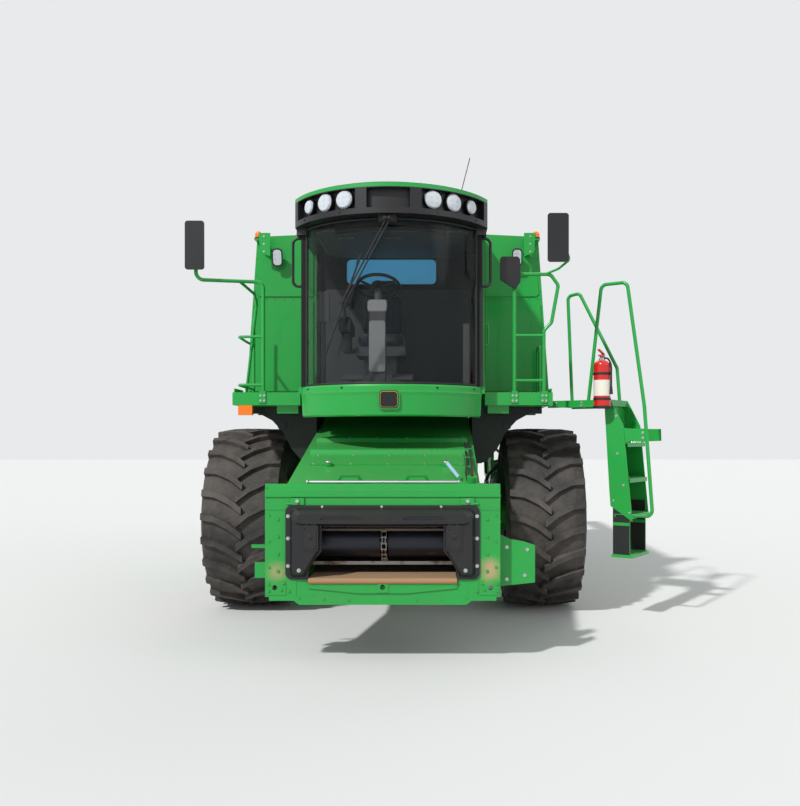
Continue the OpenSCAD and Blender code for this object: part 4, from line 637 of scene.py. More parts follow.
NODE_FINISH = {
    "green_enamel": (
        "separator_body", "cleaning_shoe", "rear_hood", "grain_elevator", "grain_tank", "tank_lid_left",
        "tank_lid_right", "engine_house", "side_shield_left", "side_shield_right", "rear_ladder",
        "auger_elbow", "auger_tube", "cab_door", "cab_skirt", "platform_left",
        "platform_right", "ladder", "front_axle", "rear_axle", "knuckle_left", "knuckle_right"),
    "cab_enamel": ("cab_shell",),
    "green_worn": ("feeder_house", "feeder_face"),
    # Frame and lift barrels get the frame green darkened as painted shade.
    "shade_darkened_frame_green": ("main_frame", "lift_barrels"),
    "wheel_yellow": ("front_rim_left", "front_rim_right", "rear_rim_left", "rear_rim_right"),
    "tyre_rubber": ("front_tyre_left", "front_tyre_right", "rear_tyre_left", "rear_tyre_right"),
    "roof_black": ("cab_roof",),
    "moulded_black": ("feeder_shroud", "mirrors", "steering_wheel", "grab_handles"),
    "matt_black": ("wiper", "whip_antenna", "rotary_screen"),
    "cab_grey": ("cab_interior",),
    "bright_steel": ("lift_rods", "tie_rod"),
    "drum_steel": ("feeder_drum",),
    "worn_steel": ("feeder_chain", "chopper_rotor", "spreader_left", "spreader_right"),
    "exhaust_steel": ("exhaust_stack",),
    "cast_iron": ("engine_block",),
    "tinted_glass": ("windscreen", "cab_glass"),
    "lamp_lens": ("roof_lamps",),
    "beacon_parts": ("corner_beacons",),
    "red_lens": ("rear_lamps",),
    "red_enamel": ("extinguisher",),
    "seat_cloth": ("operator_seat",),
}


def dress_nodes(finishes: Finishes) -> None:
    """Gives each CAD node its finish.

    Args:
        finishes: The made materials.
    """
    for finish, names in NODE_FINISH.items():
        for name in names:
            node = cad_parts[name]
            node.data.materials.clear()
            node.data.materials.append(finishes[finish])
        log.info("%s on %d nodes", finish, len(names))


# ---- meshes

def smooth_path(points: Sequence[Sequence[float]], steps: int = 8) -> list[Vector]:
    """Lays a smooth curve through points.

    Args:
        points: Three points or more.
        steps: Pieces between one point and the next.

    Returns:
        The curve's points.
    """
    knots = [Vector(point) for point in points]
    knots = [knots[0] * 2 - knots[1], *knots, knots[-1] * 2 - knots[-2]]
    path = []
    for a, b, c, d in zip(knots, knots[1:], knots[2:], knots[3:]):
        for step in range(steps):
            t = step / steps
            path.append(0.5 * (2 * b + (c - a) * t + (2 * a - 5 * b + 4 * c - d) * t * t
                               + (3 * b - 3 * c + d - a) * t * t * t))
    return [*path, knots[-2]]


def inset(outline: Sequence[tuple[float, float]], by: float) -> list[tuple[float, float]]:
    """Draws a flat outline in on itself.

    Args:
        outline: Its corners, counter-clockwise.
        by: How far each side moves inwards.

    Returns:
        The new corners.
    """
    count, moved = len(outline), []
    for i, corner in enumerate(outline):
        here = Vector(corner)
        before = (here - Vector(outline[i - 1])).normalized()
        after = (Vector(outline[(i + 1) % count]) - here).normalized()
        inward = Vector((-before.y, before.x)) + Vector((-after.y, after.x))
        moved.append(tuple(here + inward * (by / max(0.35, inward.length_squared / 2))))
    return moved


def rounded(width: float, height: float, radius: float, steps: int = 6) -> list[tuple[float, float]]:
    """Gives the outline of a rectangle with round corners, about its middle."""
    corners = []
    for quarter, (sx, sy) in enumerate(((1, 1), (-1, 1), (-1, -1), (1, -1))):
        for step in range(steps + 1):
            turn = math.radians(90 * (quarter + step / steps))
            corners.append((sx * (width / 2 - radius) + radius * math.cos(turn),
                            sy * (height / 2 - radius) + radius * math.sin(turn)))
    return corners


class Form:
    """A mesh under construction, in the machine's millimetres."""

    def __init__(self) -> None:
        """Starts with nothing."""
        self.mesh = bmesh.new()

    def skin(self, rings: Sequence[Sequence[Vector]], capped: bool = True, closed: bool = False) -> None:
        """Joins rings of points into one skin.

        Args:
            rings: Rings with the same number of points.
            capped: Whether the first and last ring are filled.
            closed: Whether the last ring joins the first.
        """
        made = [[self.mesh.verts.new(point) for point in ring] for ring in rings]
        pairs = list(zip(made, made[1:])) + ([(made[-1], made[0])] if closed else [])
        for one, two in pairs:
            for i in range(len(one)):
                j = (i + 1) % len(one)
                self.mesh.faces.new((one[i], one[j], two[j], two[i]))
        if capped and not closed:
            self.mesh.faces.new(list(reversed(made[0])))
            self.mesh.faces.new(made[-1])

    def tube(self, points: Sequence[Sequence[float]], radius: float, sides: int = 10,
             flat: float = 1.0, closed: bool = False) -> None:
        """Sweeps a round or oval section along points.

        Args:
            points: The path.
            radius: Half the section's width.
            sides: Corners of the section.
            flat: The section's height as a share of its width.
            closed: Whether the path returns to its start.
        """
        path = [Vector(point) for point in points]
        side, rings = None, []
        for i, here in enumerate(path):
            if closed:
                ahead = path[(i + 1) % len(path)] - path[i - 1]
            else:
                ahead = path[min(i + 1, len(path) - 1)] - path[max(i - 1, 0)]
            ahead.normalize()
            if side is None:
                side = ahead.orthogonal().normalized() if abs(ahead.z) > 0.9 else ahead.cross((0, 0, 1)).normalized()
            side = (side - ahead * side.dot(ahead)).normalized()
            up = side.cross(ahead)
            rings.append([here + side * (radius * math.cos(a)) + up * (radius * flat * math.sin(a))
                          for a in (math.tau * k / sides for k in range(sides))])
        self.skin(rings, not closed, closed)

    def slab(self, outline: Sequence[tuple[float, float]], at: Sequence[float], u: Sequence[float],
             v: Sequence[float], thick: float, edge: float = 3.0) -> None:
        """Makes a plate with bevelled edges.

        Args:
            outline: Its corners, counter-clockwise as seen with u to the right and v up.
            at: The outline's origin, on the plate's back.
            u: Direction of the outline's first coordinate.
            v: Direction of the second one. The plate's front looks along u x v.
            thick: Its thickness.
            edge: The bevel's size.
        """
        origin, u, v = Vector(at), Vector(u).normalized(), Vector(v).normalized()
        out = u.cross(v)
        edge = min(edge, thick * 0.45)
        small = inset(outline, edge)
        self.skin([[origin + u * x + v * y + out * depth for x, y in ring] for ring, depth in
                   ((small, 0), (outline, edge), (outline, thick - edge), (small, thick))])

    def turned(self, profile: Sequence[tuple[float, float]], at: Sequence[float], along: Sequence[float],
               sides: int = 40) -> None:
        """Turns a closed profile of (radius, distance along the axis) round an axis.

        Args:
            profile: The profile's corners.
            at: The axis's origin.
            along: The axis's direction.
            sides: Steps round the axis.
        """
        along = Vector(along).normalized()
        side = along.orthogonal().normalized()
        up = along.cross(side)
        origin = Vector(at)
        rings = []
        for k in range(sides):
            a = math.tau * k / sides
            spoke = side * math.cos(a) + up * math.sin(a)
            rings.append([origin + spoke * r + along * h for r, h in profile])
        self.skin(rings, False, True)

    def build(self, name: str, finish: bpy.types.Material, body: str, slot: str | None = None,
              crease: float = 35.0) -> bpy.types.Object:
        """Turns the form into a piece of the scene.

        Args:
            name: The piece's name.
            finish: Its material.
            body: The body that it rides on.
            slot: Not used.
            crease: Angle in degrees over which an edge stays sharp.

        Returns:
            The piece.
        """
        bmesh.ops.remove_doubles(self.mesh, verts=self.mesh.verts, dist=0.01)
        bmesh.ops.dissolve_degenerate(self.mesh, dist=0.005, edges=self.mesh.edges)
        bmesh.ops.recalc_face_normals(self.mesh, faces=self.mesh.faces)
        for vert in self.mesh.verts:
            vert.co = metres(vert.co)
        mesh = bpy.data.meshes.new(name)
        self.mesh.to_mesh(mesh)
        self.mesh.free()
        return settle(name, mesh, finish, body, crease)


def settle(name: str, mesh: bpy.types.Mesh, finish: bpy.types.Material, body: str,
           crease: float = 35.0) -> bpy.types.Object:
    """Puts a finished mesh into the scene as a piece on a body.

    Args:
        name: The piece's name.
        mesh: Its mesh, in metres.
        finish: Its material.
        body: The body that it rides on.
        crease: Angle in degrees over which an edge stays sharp.

    Returns:
        The piece.
    """
    mesh.polygons.foreach_set("use_smooth", [True] * len(mesh.polygons))
    mesh.set_sharp_from_angle(angle=math.radians(crease))
    mesh.materials.clear()
    mesh.materials.append(finish)
    piece = bpy.data.objects.new(name, mesh)
    bpy.context.scene.collection.objects.link(piece)
    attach(piece, body)
    log.info("%s on %s, %d faces", name, body, len(mesh.polygons))
    return piece


# ---- repeats

class NodeTree:
    """A Geometry Nodes tree under construction, with named inputs."""

    def __init__(self, name: str, inputs: Mapping[str, str]) -> None:
        """Makes the tree with its inputs.

        Args:
            name: The tree's name.
            inputs: Each input's name and socket type.
        """
        self.tree = bpy.data.node_groups.new(name, "GeometryNodeTree")
        self.keys = {key: self.tree.interface.new_socket(key, in_out="INPUT", socket_type=kind).identifier
                     for key, kind in inputs.items()}
        self.tree.interface.new_socket("Geometry", in_out="OUTPUT", socket_type="NodeSocketGeometry")
        self.entry = self.tree.nodes.new("NodeGroupInput")

    def add(self, kind: str, settings: Mapping[str, object] | None = None,
            sockets: Mapping[int | str, object] | None = None) -> bpy.types.Node:
        """Adds a node.

        Args:
            kind: The node's type.
            settings: Its own settings.
            sockets: Values for its inputs, or sockets to link to them.

        Returns:
            The node.
        """
        node = self.tree.nodes.new(kind)
        for key, value in (settings or {}).items():
            setattr(node, key, value)
        for key, value in (sockets or {}).items():
            if isinstance(value, bpy.types.NodeSocket):
                self.tree.links.new(value, node.inputs[key])
            else:
                node.inputs[key].default_value = value
        return node

    def given(self, name: str) -> bpy.types.NodeSocket:
        """Gives an input's socket inside the tree."""
        return self.entry.outputs[name]

    def finish(self, geometry: bpy.types.NodeSocket) -> None:
        """Ends the tree: instances made real, and their material set."""
        real = self.add("GeometryNodeRealizeInstances", None, {0: geometry})
        dressed = self.add("GeometryNodeSetMaterial", None, {0: real.outputs[0], "Material": self.given("Finish")})
        self.add("NodeGroupOutput", None, {0: dressed.outputs[0]})

    def run(self, name: str, mesh: bpy.types.Mesh, values: Mapping[str, object], body: str,
            slot: str | None = None) -> bpy.types.Object:
        """Runs the tree on a mesh and turns the result into a piece.

        Args:
            name: The piece's name.
            mesh: The mesh that it starts from.
            values: The inputs' values, Finish among them.
            body: The body that it rides on.
            slot: Not used.

        Returns:
            The piece.
        """
        source = bpy.data.objects.new(name + "_source", mesh)
        bpy.context.scene.collection.objects.link(source)
        modifier = source.modifiers.new("nodes", "NODES")
        modifier.node_group = self.tree
        for key, value in values.items():
            modifier[self.keys[key]] = value
        source.update_tag()
        seen = source.evaluated_get(bpy.context.evaluated_depsgraph_get())
        made = bpy.data.meshes.new_from_object(seen)
        source.modifiers.clear()
        bpy.data.objects.remove(source)
        made.name = name
        return settle(name, made, values["Finish"], body)


class PegTree(NodeTree):
    """Puts a foot and a head on every point, square to the surface there: a bolt, rivet, nut or stud."""

    def __init__(self) -> None:
        """Builds the tree."""
        super().__init__("pegs", {
            "Points": "NodeSocketGeometry", "Sides": "NodeSocketInt", "Head Radius": "NodeSocketFloat",
            "Top Radius": "NodeSocketFloat", "Head Height": "NodeSocketFloat", "Foot Radius": "NodeSocketFloat",
            "Foot Height": "NodeSocketFloat", "Finish": "NodeSocketMaterial"})
        foot = self.turned(self.given("Foot Radius"), self.given("Foot Radius"), self.given("Foot Height"), 14)
        head = self.turned(self.given("Head Radius"), self.given("Top Radius"), self.given("Head Height"),
                           self.given("Sides"))
        raised = self.add("ShaderNodeCombineXYZ", None, {"Z": self.given("Foot Height")})
        lifted = self.add("GeometryNodeTransform", None, {"Geometry": head, "Translation": raised.outputs[0]})
        both = self.add("GeometryNodeJoinGeometry")
        self.tree.links.new(foot, both.inputs[0])
        self.tree.links.new(lifted.outputs[0], both.inputs[0])
        facing = self.add("GeometryNodeInputNamedAttribute", {"data_type": "FLOAT_VECTOR"}, {"Name": "facing"})
        turn = self.add("FunctionNodeAlignRotationToVector", {"axis": "Z"}, {"Vector": facing.outputs[0]})
        size = self.add("GeometryNodeInputNamedAttribute", {"data_type": "FLOAT"}, {"Name": "size"})
        spread = self.add("GeometryNodeInstanceOnPoints", None, {
            "Points": self.given("Points"), "Instance": both.outputs[0], "Rotation": turn.outputs[0],
            "Scale": size.outputs[0]})
        self.finish(spread.outputs[0])

    def turned(self, foot: bpy.types.NodeSocket, top: bpy.types.NodeSocket, height: bpy.types.NodeSocket,
               sides: "int | bpy.types.NodeSocket") -> bpy.types.NodeSocket:
        """Adds a cone that stands on the origin and gives its mesh."""
        cone = self.add("GeometryNodeMeshCone", None, {
            "Vertices": sides, "Radius Top": top, "Radius Bottom": foot, "Depth": height})
        return cone.outputs["Mesh"]


@dataclass
class PegField:
    """Pegs of one kind on one body, gathered from the sub-assemblies."""

    name: str
    body: str
    finish: bpy.types.Material
    head: float = 0.009
    top: float = 0.0082
    height: float = 0.007
    foot: float = 0.013
    foot_height: float = 0.002
    sides: int = 6
    places: list[tuple[Vector, Vector, float]] = field(default_factory=list)

    def put(self, at: Sequence[float], facing: Sequence[float], size: float = 1.0) -> None:
        """Adds a peg, in the machine's millimetres."""
        self.places.append((metres(at), Vector(facing).normalized(), size))

    def row(self, start: Sequence[float], end: Sequence[float], count: int, facing: Sequence[float],
            size: float = 1.0) -> None:
        """Adds a straight row of pegs."""
        first, last = Vector(start), Vector(end)
        for i in range(count):
            self.put(first.lerp(last, i / max(count - 1, 1)), facing, size)

    def circle(self, at: Sequence[float], facing: Sequence[float], radius: float, count: int,
               size: float = 1.0, start: float = 0.0) -> None:
        """Adds a ring of pegs."""
        axis = Vector(facing).normalized()
        side = axis.orthogonal().normalized()
        up = axis.cross(side)
        for i in range(count):
            turn = start + math.tau * i / count
            self.put(Vector(at) + (side * math.cos(turn) + up * math.sin(turn)) * radius, facing, size)

    def build(self, tree: PegTree) -> None:
        """Makes the piece from the places gathered."""
        if not self.places:
            return
        mesh = bpy.data.meshes.new(self.name)
        mesh.from_pydata([place for place, _, _ in self.places], [], [])
        facing = mesh.attributes.new("facing", "FLOAT_VECTOR", "POINT")
        facing.data.foreach_set("vector", [part for _, way, _ in self.places for part in way])
        size = mesh.attributes.new("size", "FLOAT", "POINT")
        size.data.foreach_set("value", [level for _, _, level in self.places])
        tree.run(self.name, mesh, {
            "Sides": self.sides, "Head Radius": self.head, "Top Radius": self.top, "Head Height": self.height,
            "Foot Radius": self.foot, "Foot Height": self.foot_height, "Finish": self.finish}, self.body)


class MeshScreenTree(NodeTree):
    """Turns a flat mesh into a screen of thin wires along its honeycomb."""

    def __init__(self) -> None:
        """Builds the tree."""
        super().__init__("wire_screen", {
            "Plate": "NodeSocketGeometry", "Wire Radius": "NodeSocketFloat", "Finish": "NodeSocketMaterial"})
        cells = self.add("GeometryNodeDualMesh", None, {"Mesh": self.given("Plate"), "Keep Boundaries": True})
        wires = self.add("GeometryNodeMeshToCurve", None, {"Mesh": cells.outputs[0]})
        ring = self.add("GeometryNodeCurvePrimitiveCircle", None,
                        {"Resolution": 4, "Radius": self.given("Wire Radius")})
        drawn = self.add("GeometryNodeCurveToMesh", None,
                         {"Curve": wires.outputs[0], "Profile Curve": ring.outputs[0]})
        self.finish(drawn.outputs[0])


@dataclass
class Pegs:
    """The fields of fasteners and studs, by kind and body."""

    finishes: Finishes
    fields: dict[str, PegField] = field(default_factory=dict)

    def of(self, kind: str, body: str) -> PegField:
        """Gives a field, made at its first use.

        Args:
            kind: bolt, green_bolt, rivet, nut, stud or tooth.
            body: The body that it rides on.

        Returns:
            The field.
        """
        name = f"{kind}s_{body}"
        if name not in self.fields:
            sizes = {
                "bolt": dict(finish="bright_steel"),
                "green_bolt": dict(finish="green_enamel"),
                "black_bolt": dict(finish="moulded_black"),
                # Frame bolts and studs take the frame green darkened as painted shade.
                "frame_bolt": dict(finish="shade_darkened_frame_green"),
                "rivet": dict(finish="green_enamel", head=0.0085, top=0.005, height=0.004, foot=0.010, sides=12),
                "nut": dict(finish="bright_steel", head=0.019, top=0.017, height=0.018, foot=0.025,
                            foot_height=0.004),
                "stud": dict(finish="shade_darkened_frame_green", head=0.0075, top=0.0045, height=0.003, foot=0.009,
                             foot_height=0.0006, sides=8),
                "tooth": dict(finish="green_enamel", head=0.006, top=0.0035, height=0.006, foot=0.0075,
                              foot_height=0.001, sides=8),
            }[kind]
            finish = self.finishes[sizes.pop("finish")]
            self.fields[name] = PegField(name, body, finish, **sizes)
        return self.fields[name]

    def build(self) -> None:
        """Makes every field's piece."""
        tree = PegTree()
        for item in self.fields.values():
            item.build(tree)


# ---- sub-assemblies

@dataclass
class FeederTrim:
    """Fasteners, worn plates, covers and sensor lines of the feeder house and its face."""

    finishes: Finishes
    pegs: Pegs
    shroud_bolts: Sequence[tuple[float, float]] = (
        (-461, 1226), (-7, 1226), (447, 1226), (-722, 1153), (722, 1153), (-722, 983), (722, 983),
        (-722, 773), (722, 773))
    corner_bolts: Sequence[tuple[float, float]] = ((873, 580), (777, 591), (718, 578), (873, 634), (760, 640))

    def build(self) -> None:
        """Makes the pieces."""
        self.face_bolts()
        self.shroud()
        self.latches()
        self.house()
        self.floor_edge()

    def face_bolts(self) -> None:
        """Puts the bolts of the face plate and its corners."""
        bolts = self.pegs.of("bolt", "feeder")
        green = self.pegs.of("green_bolt", "feeder")
        for side in (-1, 1):
            for x, z in self.corner_bolts:
                green.put((side * x, FRONT_Y + (2 if abs(x) > 740 else 3), z), (0, -1, 0), 1.15)
            green.row((side * 800, FRONT_Y + 6, 730), (side * 800, FRONT_Y + 6, 1130), 4, (0, -1, 0), 1.1)
            green.row((side * 868, FRONT_Y + 6, 760), (side * 868, FRONT_Y + 6, 1160), 3, (0, -1, 0), 0.9)
            for z in (700, 900, 1100, 1300):
                green.put((side * 900, FRONT_Y + 90, z), (side, 0, 0), 1.1)
            green.row((side * 260, FRONT_Y + 4, 512), (side * 640, FRONT_Y + 4, 524), 3, (0, -1, 0), 0.9)
        for side in (-1, 1):
            green.row((side * 140, FRONT_Y - 6, 632), (side * 545, FRONT_Y - 6, 632), 4, (0, -1, 0), 0.75)
        for x, z in ((960, 650), (960, 900), (1100, 680), (1120, 880)):
            bolts.put((x, FRONT_Y + 132, z), (0, -1, 0), 1.1)

    def shroud(self) -> None:
        """Puts the shroud's bolts, a rubber lip along its lower edge and the seams of its bearing covers."""
        black, steel = self.pegs.of("black_bolt", "feeder"), self.pegs.of("bolt", "feeder")
        for x, z in self.shroud_bolts:
            steel.put((x, FRONT_Y - 10.3, z), (0, -1, 0), 0.75 if z > 1200 else 1.1)
        for side in (-1, 1):
            steel.put((side * 632, FRONT_Y - 54.3, 745), (0, -1, 0), 1.2)
            for x, z in ((500, 907), (592, 907), (500, 1060), (592, 1060)):
                black.put((side * x, FRONT_Y - 64.3, z), (0, -1, 0), 0.8)
        form = Form()
        for side in (-1, 1):
            form.slab(rounded(92, 128, 14), (side * 545, FRONT_Y - 64, SHROUD_Z + 20), (1, 0, 0), (0, 0, 1), 5, 2)
            form.turned(((0, 0), (17, 0), (17, 5), (12, 9), (0, 9)), (side * 545, FRONT_Y - 68, SHROUD_Z + 46),
                        (0, -1, 0), 24)
        form.tube(smooth_path(((-448, FRONT_Y - 12, SHROUD_Z + 128), (-300, FRONT_Y - 14, SHROUD_Z + 125),
                               (300, FRONT_Y - 14, SHROUD_Z + 125), (448, FRONT_Y - 12, SHROUD_Z + 128))), 7, 8)
        form.build("shroud_covers", self.finishes["matt_black"], "feeder")

    def latches(self) -> None:
        """Puts the latch hooks' bolts and the pin ends of the latch bar."""
        form = Form()
        for side in (-1, 1):
            form.turned(((0, 0), (15, 0), (15, 12), (11, 16), (0, 16)), (side * 650, FRONT_Y - 12, 1266),
                        (0, -1, 0), 24)
            form.turned(((0, 0), (17, 0), (17, 9), (12, 13), (0, 13)), (side * 577, FRONT_Y + 40, 1412),
                        (side, 0, 0), 24)
        form.tube(((-566, FRONT_Y + 40, 1412), (580, FRONT_Y + 40, 1412)), 11.2, 16)
        form.build("latch_bar", self.finishes["bright_steel"], "feeder")

    def house(self) -> None:
        """Dresses the feeder house's top: cover bolts, boss caps, the level lever and the sensor lines."""
        bolts, green = self.pegs.of("bolt", "feeder"), self.pegs.of("green_bolt", "feeder")
        up = feeder_up()
        for x in (-620, -310, 0, 310, 620):
            for y in (FRONT_Y + 665, FRONT_Y + 945):
                bolts.put(on_feeder_top(x, y, 8), up, 0.95)
        for x in (-660, -400, -140, 140, 400, 660):
            green.put(on_feeder_top(x, FRONT_Y + 1045, 34), up, 0.9)
            green.put(on_feeder_top(x, FRONT_Y + 1465, 34), up, 0.9)
        for side in (-1, 1):
            for k in range(7):
                y = FRONT_Y + 200 + k * 250
                green.put((side * 750, y, FACE_TOP - 60 + (y - HOUSE_Y) * TOP_SLOPE), (side, 0, 0), 0.9)
        bosses = Form()
        for side in (-1, 1):
            bosses.turned(((0, 0), (23, 0), (24, 3), (24, 11), (19, 16), (9, 17), (0, 13)),
                          on_feeder_top(side * 490, FRONT_Y + 620, 30), up, 28)
        bosses.build("boss_caps", self.finishes["bright_steel"], "feeder")
        lever = Form()
        lever.tube((on_feeder_top(588, FRONT_Y + 243, 14), on_feeder_top(498, FRONT_Y + 380, 93)), 16, 14)
        lever.build("level_lever", self.finishes["light_blue_plastic"], "feeder")
        rubber = Form()
        rubber.tube(smooth_path((on_feeder_top(690, FRONT_Y + 160, 48), on_feeder_top(690, FRONT_Y + 220, 90),
                                 on_feeder_top(700, FRONT_Y + 420, 60), on_feeder_top(705, FRONT_Y + 800, 30),
                                 on_feeder_top(705, FRONT_Y + 1300, 26))), 12, 10)
        rubber.tube(smooth_path((on_feeder_top(655, FRONT_Y + 190, 10), on_feeder_top(650, FRONT_Y + 320, 40),
                                 on_feeder_top(668, FRONT_Y + 700, 24),
                                 on_feeder_top(672, FRONT_Y + 1300, 22))), 9, 10)
        rubber.build("sensor_lines", self.finishes["matt_black"], "feeder")
        clips = Form()
        for y in (FRONT_Y + 480, FRONT_Y + 760, FRONT_Y + 1040):
            clips.slab(rounded(74, 26, 6), on_feeder_top(688, y, 36), (1, 0, 0), (0, 1, TOP_SLOPE), 4, 1)
        clips.build("line_clips", self.finishes["green_enamel"], "feeder")

    def floor_edge(self) -> None:
        """Lays a worn steel wear strip on the feeder floor's rolled edge."""
        form = Form()
        form.tube(((-566, FRONT_Y - 4, FACE_Z + 184), (566, FRONT_Y - 4, FACE_Z + 184)), 22.8, 20)
        form.slab([(-564, 0), (564, 0), (564, 290), (-564, 290)], (0, FRONT_Y + 2, FACE_Z + 206.2),
                  (1, 0, 0), (0, 1, 0), 1.5, 0.5)
        form.build("floor_lip", self.finishes["rusty_plate"], "feeder")


@dataclass
class CabTrim:
    """Seals, badge plate, wiper blade, headlining and the operator's controls."""

    finishes: Finishes
    pegs: Pegs
    seal: float = 9.0

    def build(self) -> None:
        """Makes the pieces."""
        self.seals()
        self.badge()
        self.wiper_blade()
        self.controls()
        self.lining()
        self.skirt_bolts()

    def arc(self, radius: float, z: float, half: float, steps: int = 48) -> list[Vector]:
        """Gives points along the windscreen's curve."""
        return [Vector((radius * math.sin(math.radians(half * (2 * i / steps - 1))),
                        CAB_Y - radius * math.cos(math.radians(half * (2 * i / steps - 1))), z))
                for i in range(steps + 1)]

    def seals(self) -> None:
        """Runs rubber seals round the windscreen and the side and rear panes."""
        form = Form()
        half = math.degrees(math.asin(PILLAR_X / SCREEN_R)) - 2.6
        for z in (FLOOR_Z + 10, GLASS_TOP - 10):
            form.tube(self.arc(SCREEN_R - 2, z, half), self.seal + 3, 8, 0.9)
        for side in (-1, 1):
            turn = math.radians(side * half)
            foot = (SCREEN_R * math.sin(turn) * 0.998, CAB_Y - SCREEN_R * math.cos(turn) * 0.998)
            form.tube(((*foot, FLOOR_Z + 6), (*foot, GLASS_TOP - 6)), 14, 8)
            for y in (-1166, -1022):
                form.tube(((side * 836, y, FLOOR_Z + 8), (side * 836, y, GLASS_TOP - 6)), self.seal, 8)
        ring = [(x, -56.0, z) for x, z in ((a - 60, b + 3500) for a, b in rounded(948, 268, 54))]
        form.tube(ring, self.seal, 8, 1.0, True)
        form.build("pane_seals", self.finishes["matt_black"], "root")
        door = Form()
        ring = [(876.0, a - 563, b + 2975) for a, b in rounded(696, 1228, 74)]
        door.tube(ring, 7, 8, 1.0, True)
        door.build("door_seal", self.finishes["matt_black"], "door")

    def badge(self) -> None:
        """Sets a bare black plate with a thin rim on the skirt."""
        y, z = SCREEN_Y - 44, FLOOR_Z - 134.4
        plate, rim = Form(), Form()
        plate.slab(rounded(168, 154, 34), (0, y - 0.2, z), (1, 0, 0), (0, 0, 1), 4, 1.5)
        plate.build("badge_plate", self.finishes["gloss_black"], "root")
        rim.tube([(a, y - 4.2, z + b) for a, b in rounded(150, 136, 28)], 2.6, 6, 0.5, True)
        rim.build("badge_rim", self.finishes["wheel_yellow"], "root")

    def wiper_blade(self) -> None:
        """Adds the blade's rubber, its clips and the cover on the motor."""
        form = Form()
        top, foot = Vector((-240, SCREEN_Y - 46, GLASS_TOP - 330)), Vector((-560, SCREEN_Y + 64, GLASS_TOP - 1180))
        for share in (0.08, 0.36, 0.5, 0.64, 0.92):
            here = top.lerp(foot, share)
            form.slab(rounded(26, 40, 6), here + Vector((0, -8, 0)), (1, 0, 0), (0.3, -0.12, 1), 10, 2)
        form.tube((top + Vector((0, 14, 0)), foot + Vector((0, 14, 0))), 6, 6)
        form.slab(rounded(150, 44, 12), (-10, SCREEN_Y - 100, GLASS_TOP - 34), (1, 0, 0), (0, 0, 1), 9, 3)
        for x in (-30, 4):
            form.turned(((0, 0), (17, 0), (17, 12), (12, 17), (0, 17)), (x, SCREEN_Y - 122, GLASS_TOP - 30),
                        (0, -1, 0), 20)
        form.build("wiper_details", self.finishes["matt_black"], "root")

    def controls(self) -> None:
        """Fits the column's shroud and stalks, the display, the arm rest's pad and keys, and the floor mat."""
        x, wheel_y = OPERATOR_X, CAB_Y - 412
        grey, black = Form(), Form()
        grey.slab(rounded(150, 470, 26), (x, CAB_Y - 532, FLOOR_Z + 370), (1, 0, 0), (0, -0.03, 1), 12, 4)
        grey.slab(rounded(180, 120, 30), (x, CAB_Y - 508, FLOOR_Z + 740), (1, 0, 0), (0, 0.25, 1), 26, 8)
        grey.build("column_cover", self.finishes["light_grey"], "root")
        for side in (-1, 1):
            black.tube(smooth_path(((x + side * 30, wheel_y, FLOOR_Z + 880),
                                    (x + side * 110, wheel_y - 20, FLOOR_Z + 892),
                                    (x + side * 190, wheel_y - 10, FLOOR_Z + 905))), 7, 8)
        black.turned(((0, 0), (60, 0), (62, 10), (44, 22), (0, 24)), (x, wheel_y + 26, FLOOR_Z + 958),
                     (0, 0.41, 0.91), 32)
        black.slab(rounded(900, 560, 60), (0, CAB_Y - 470, FLOOR_Z), (1, 0, 0), (0, 1, 0), 8, 3)
        black.slab(rounded(96, 330, 30), (x - 345, CAB_Y + 190, FLOOR_Z + 678), (1, 0, 0), (0, 1, -0.087), 26, 10)
        black.build("cab_fittings", self.finishes["matt_black"], "root")
        screen = Form()
        screen.slab(rounded(96, 250, 10), (x - 520, CAB_Y - 309.8, FLOOR_Z + 760), (-1, 0, 0), (0, 0, 1), 4, 1)
        screen.build("display_glass", self.finishes["gloss_black"], "root")
        keys = self.pegs.of("black_bolt", "root")
        for i in range(3):
            for j in range(5):
                keys.put((x - 370 + i * 25, CAB_Y - 30 + j * 24, FLOOR_Z + 697.6 - j * 2.1), (0, 0.087, 1), 0.9)
        rows = self.pegs.of("stud", "root")
        for i in range(17):
            rows.row((-380 + i * 47, CAB_Y - 700, FLOOR_Z + 8), (-380 + i * 47, CAB_Y - 240, FLOOR_Z + 8), 12,
                     (0, 0, 1), 1.2)

    def lining(self) -> None:
        """Lines the cab's roof and rear wall."""
        form = Form()
        form.slab([(a, b + CAB_Y + 30) for a, b in rounded(1420, 1180, 160)], (0, 0, GLASS_TOP - 36),
                  (1, 0, 0), (0, 1, 0), 34, 12)
        for x in (-420, 0, 420):
            form.slab(rounded(170, 90, 26), (x, CAB_Y - 330, GLASS_TOP - 34), (1, 0, 0), (0, -1, 0), 22, 8)
        form.slab(rounded(1560, 1060, 60), (0, -92, FLOOR_Z + 560), (1, 0, 0), (0, 0, 1), 24, 8)
        form.build("cab_lining", self.finishes["cab_grey"], "root")
        blind = Form()
        blind.tube([p + Vector((0, 60, 0)) for p in self.arc(SCREEN_R - 60, GLASS_TOP - 62, 34, 24)], 22, 12)
        blind.build("sun_blind", self.finishes["matt_black"], "root")

    def skirt_bolts(self) -> None:
        """Puts the screws of the skirt and the visor."""
        bolts = self.pegs.of("black_bolt", "root")
        for turn in (-52, -26, 26, 52):
            a = math.radians(turn)
            out = Vector((math.sin(a), -math.cos(a), 0))
            bolts.put(Vector((0, CAB_Y, FLOOR_Z - 28)) + out * (SCREEN_R - 8 + 31), out, 0.8)
            bolts.put(Vector((0, ROOF_Y, GLASS_TOP + 28)) + out * ROOF_R, out, 0.8)


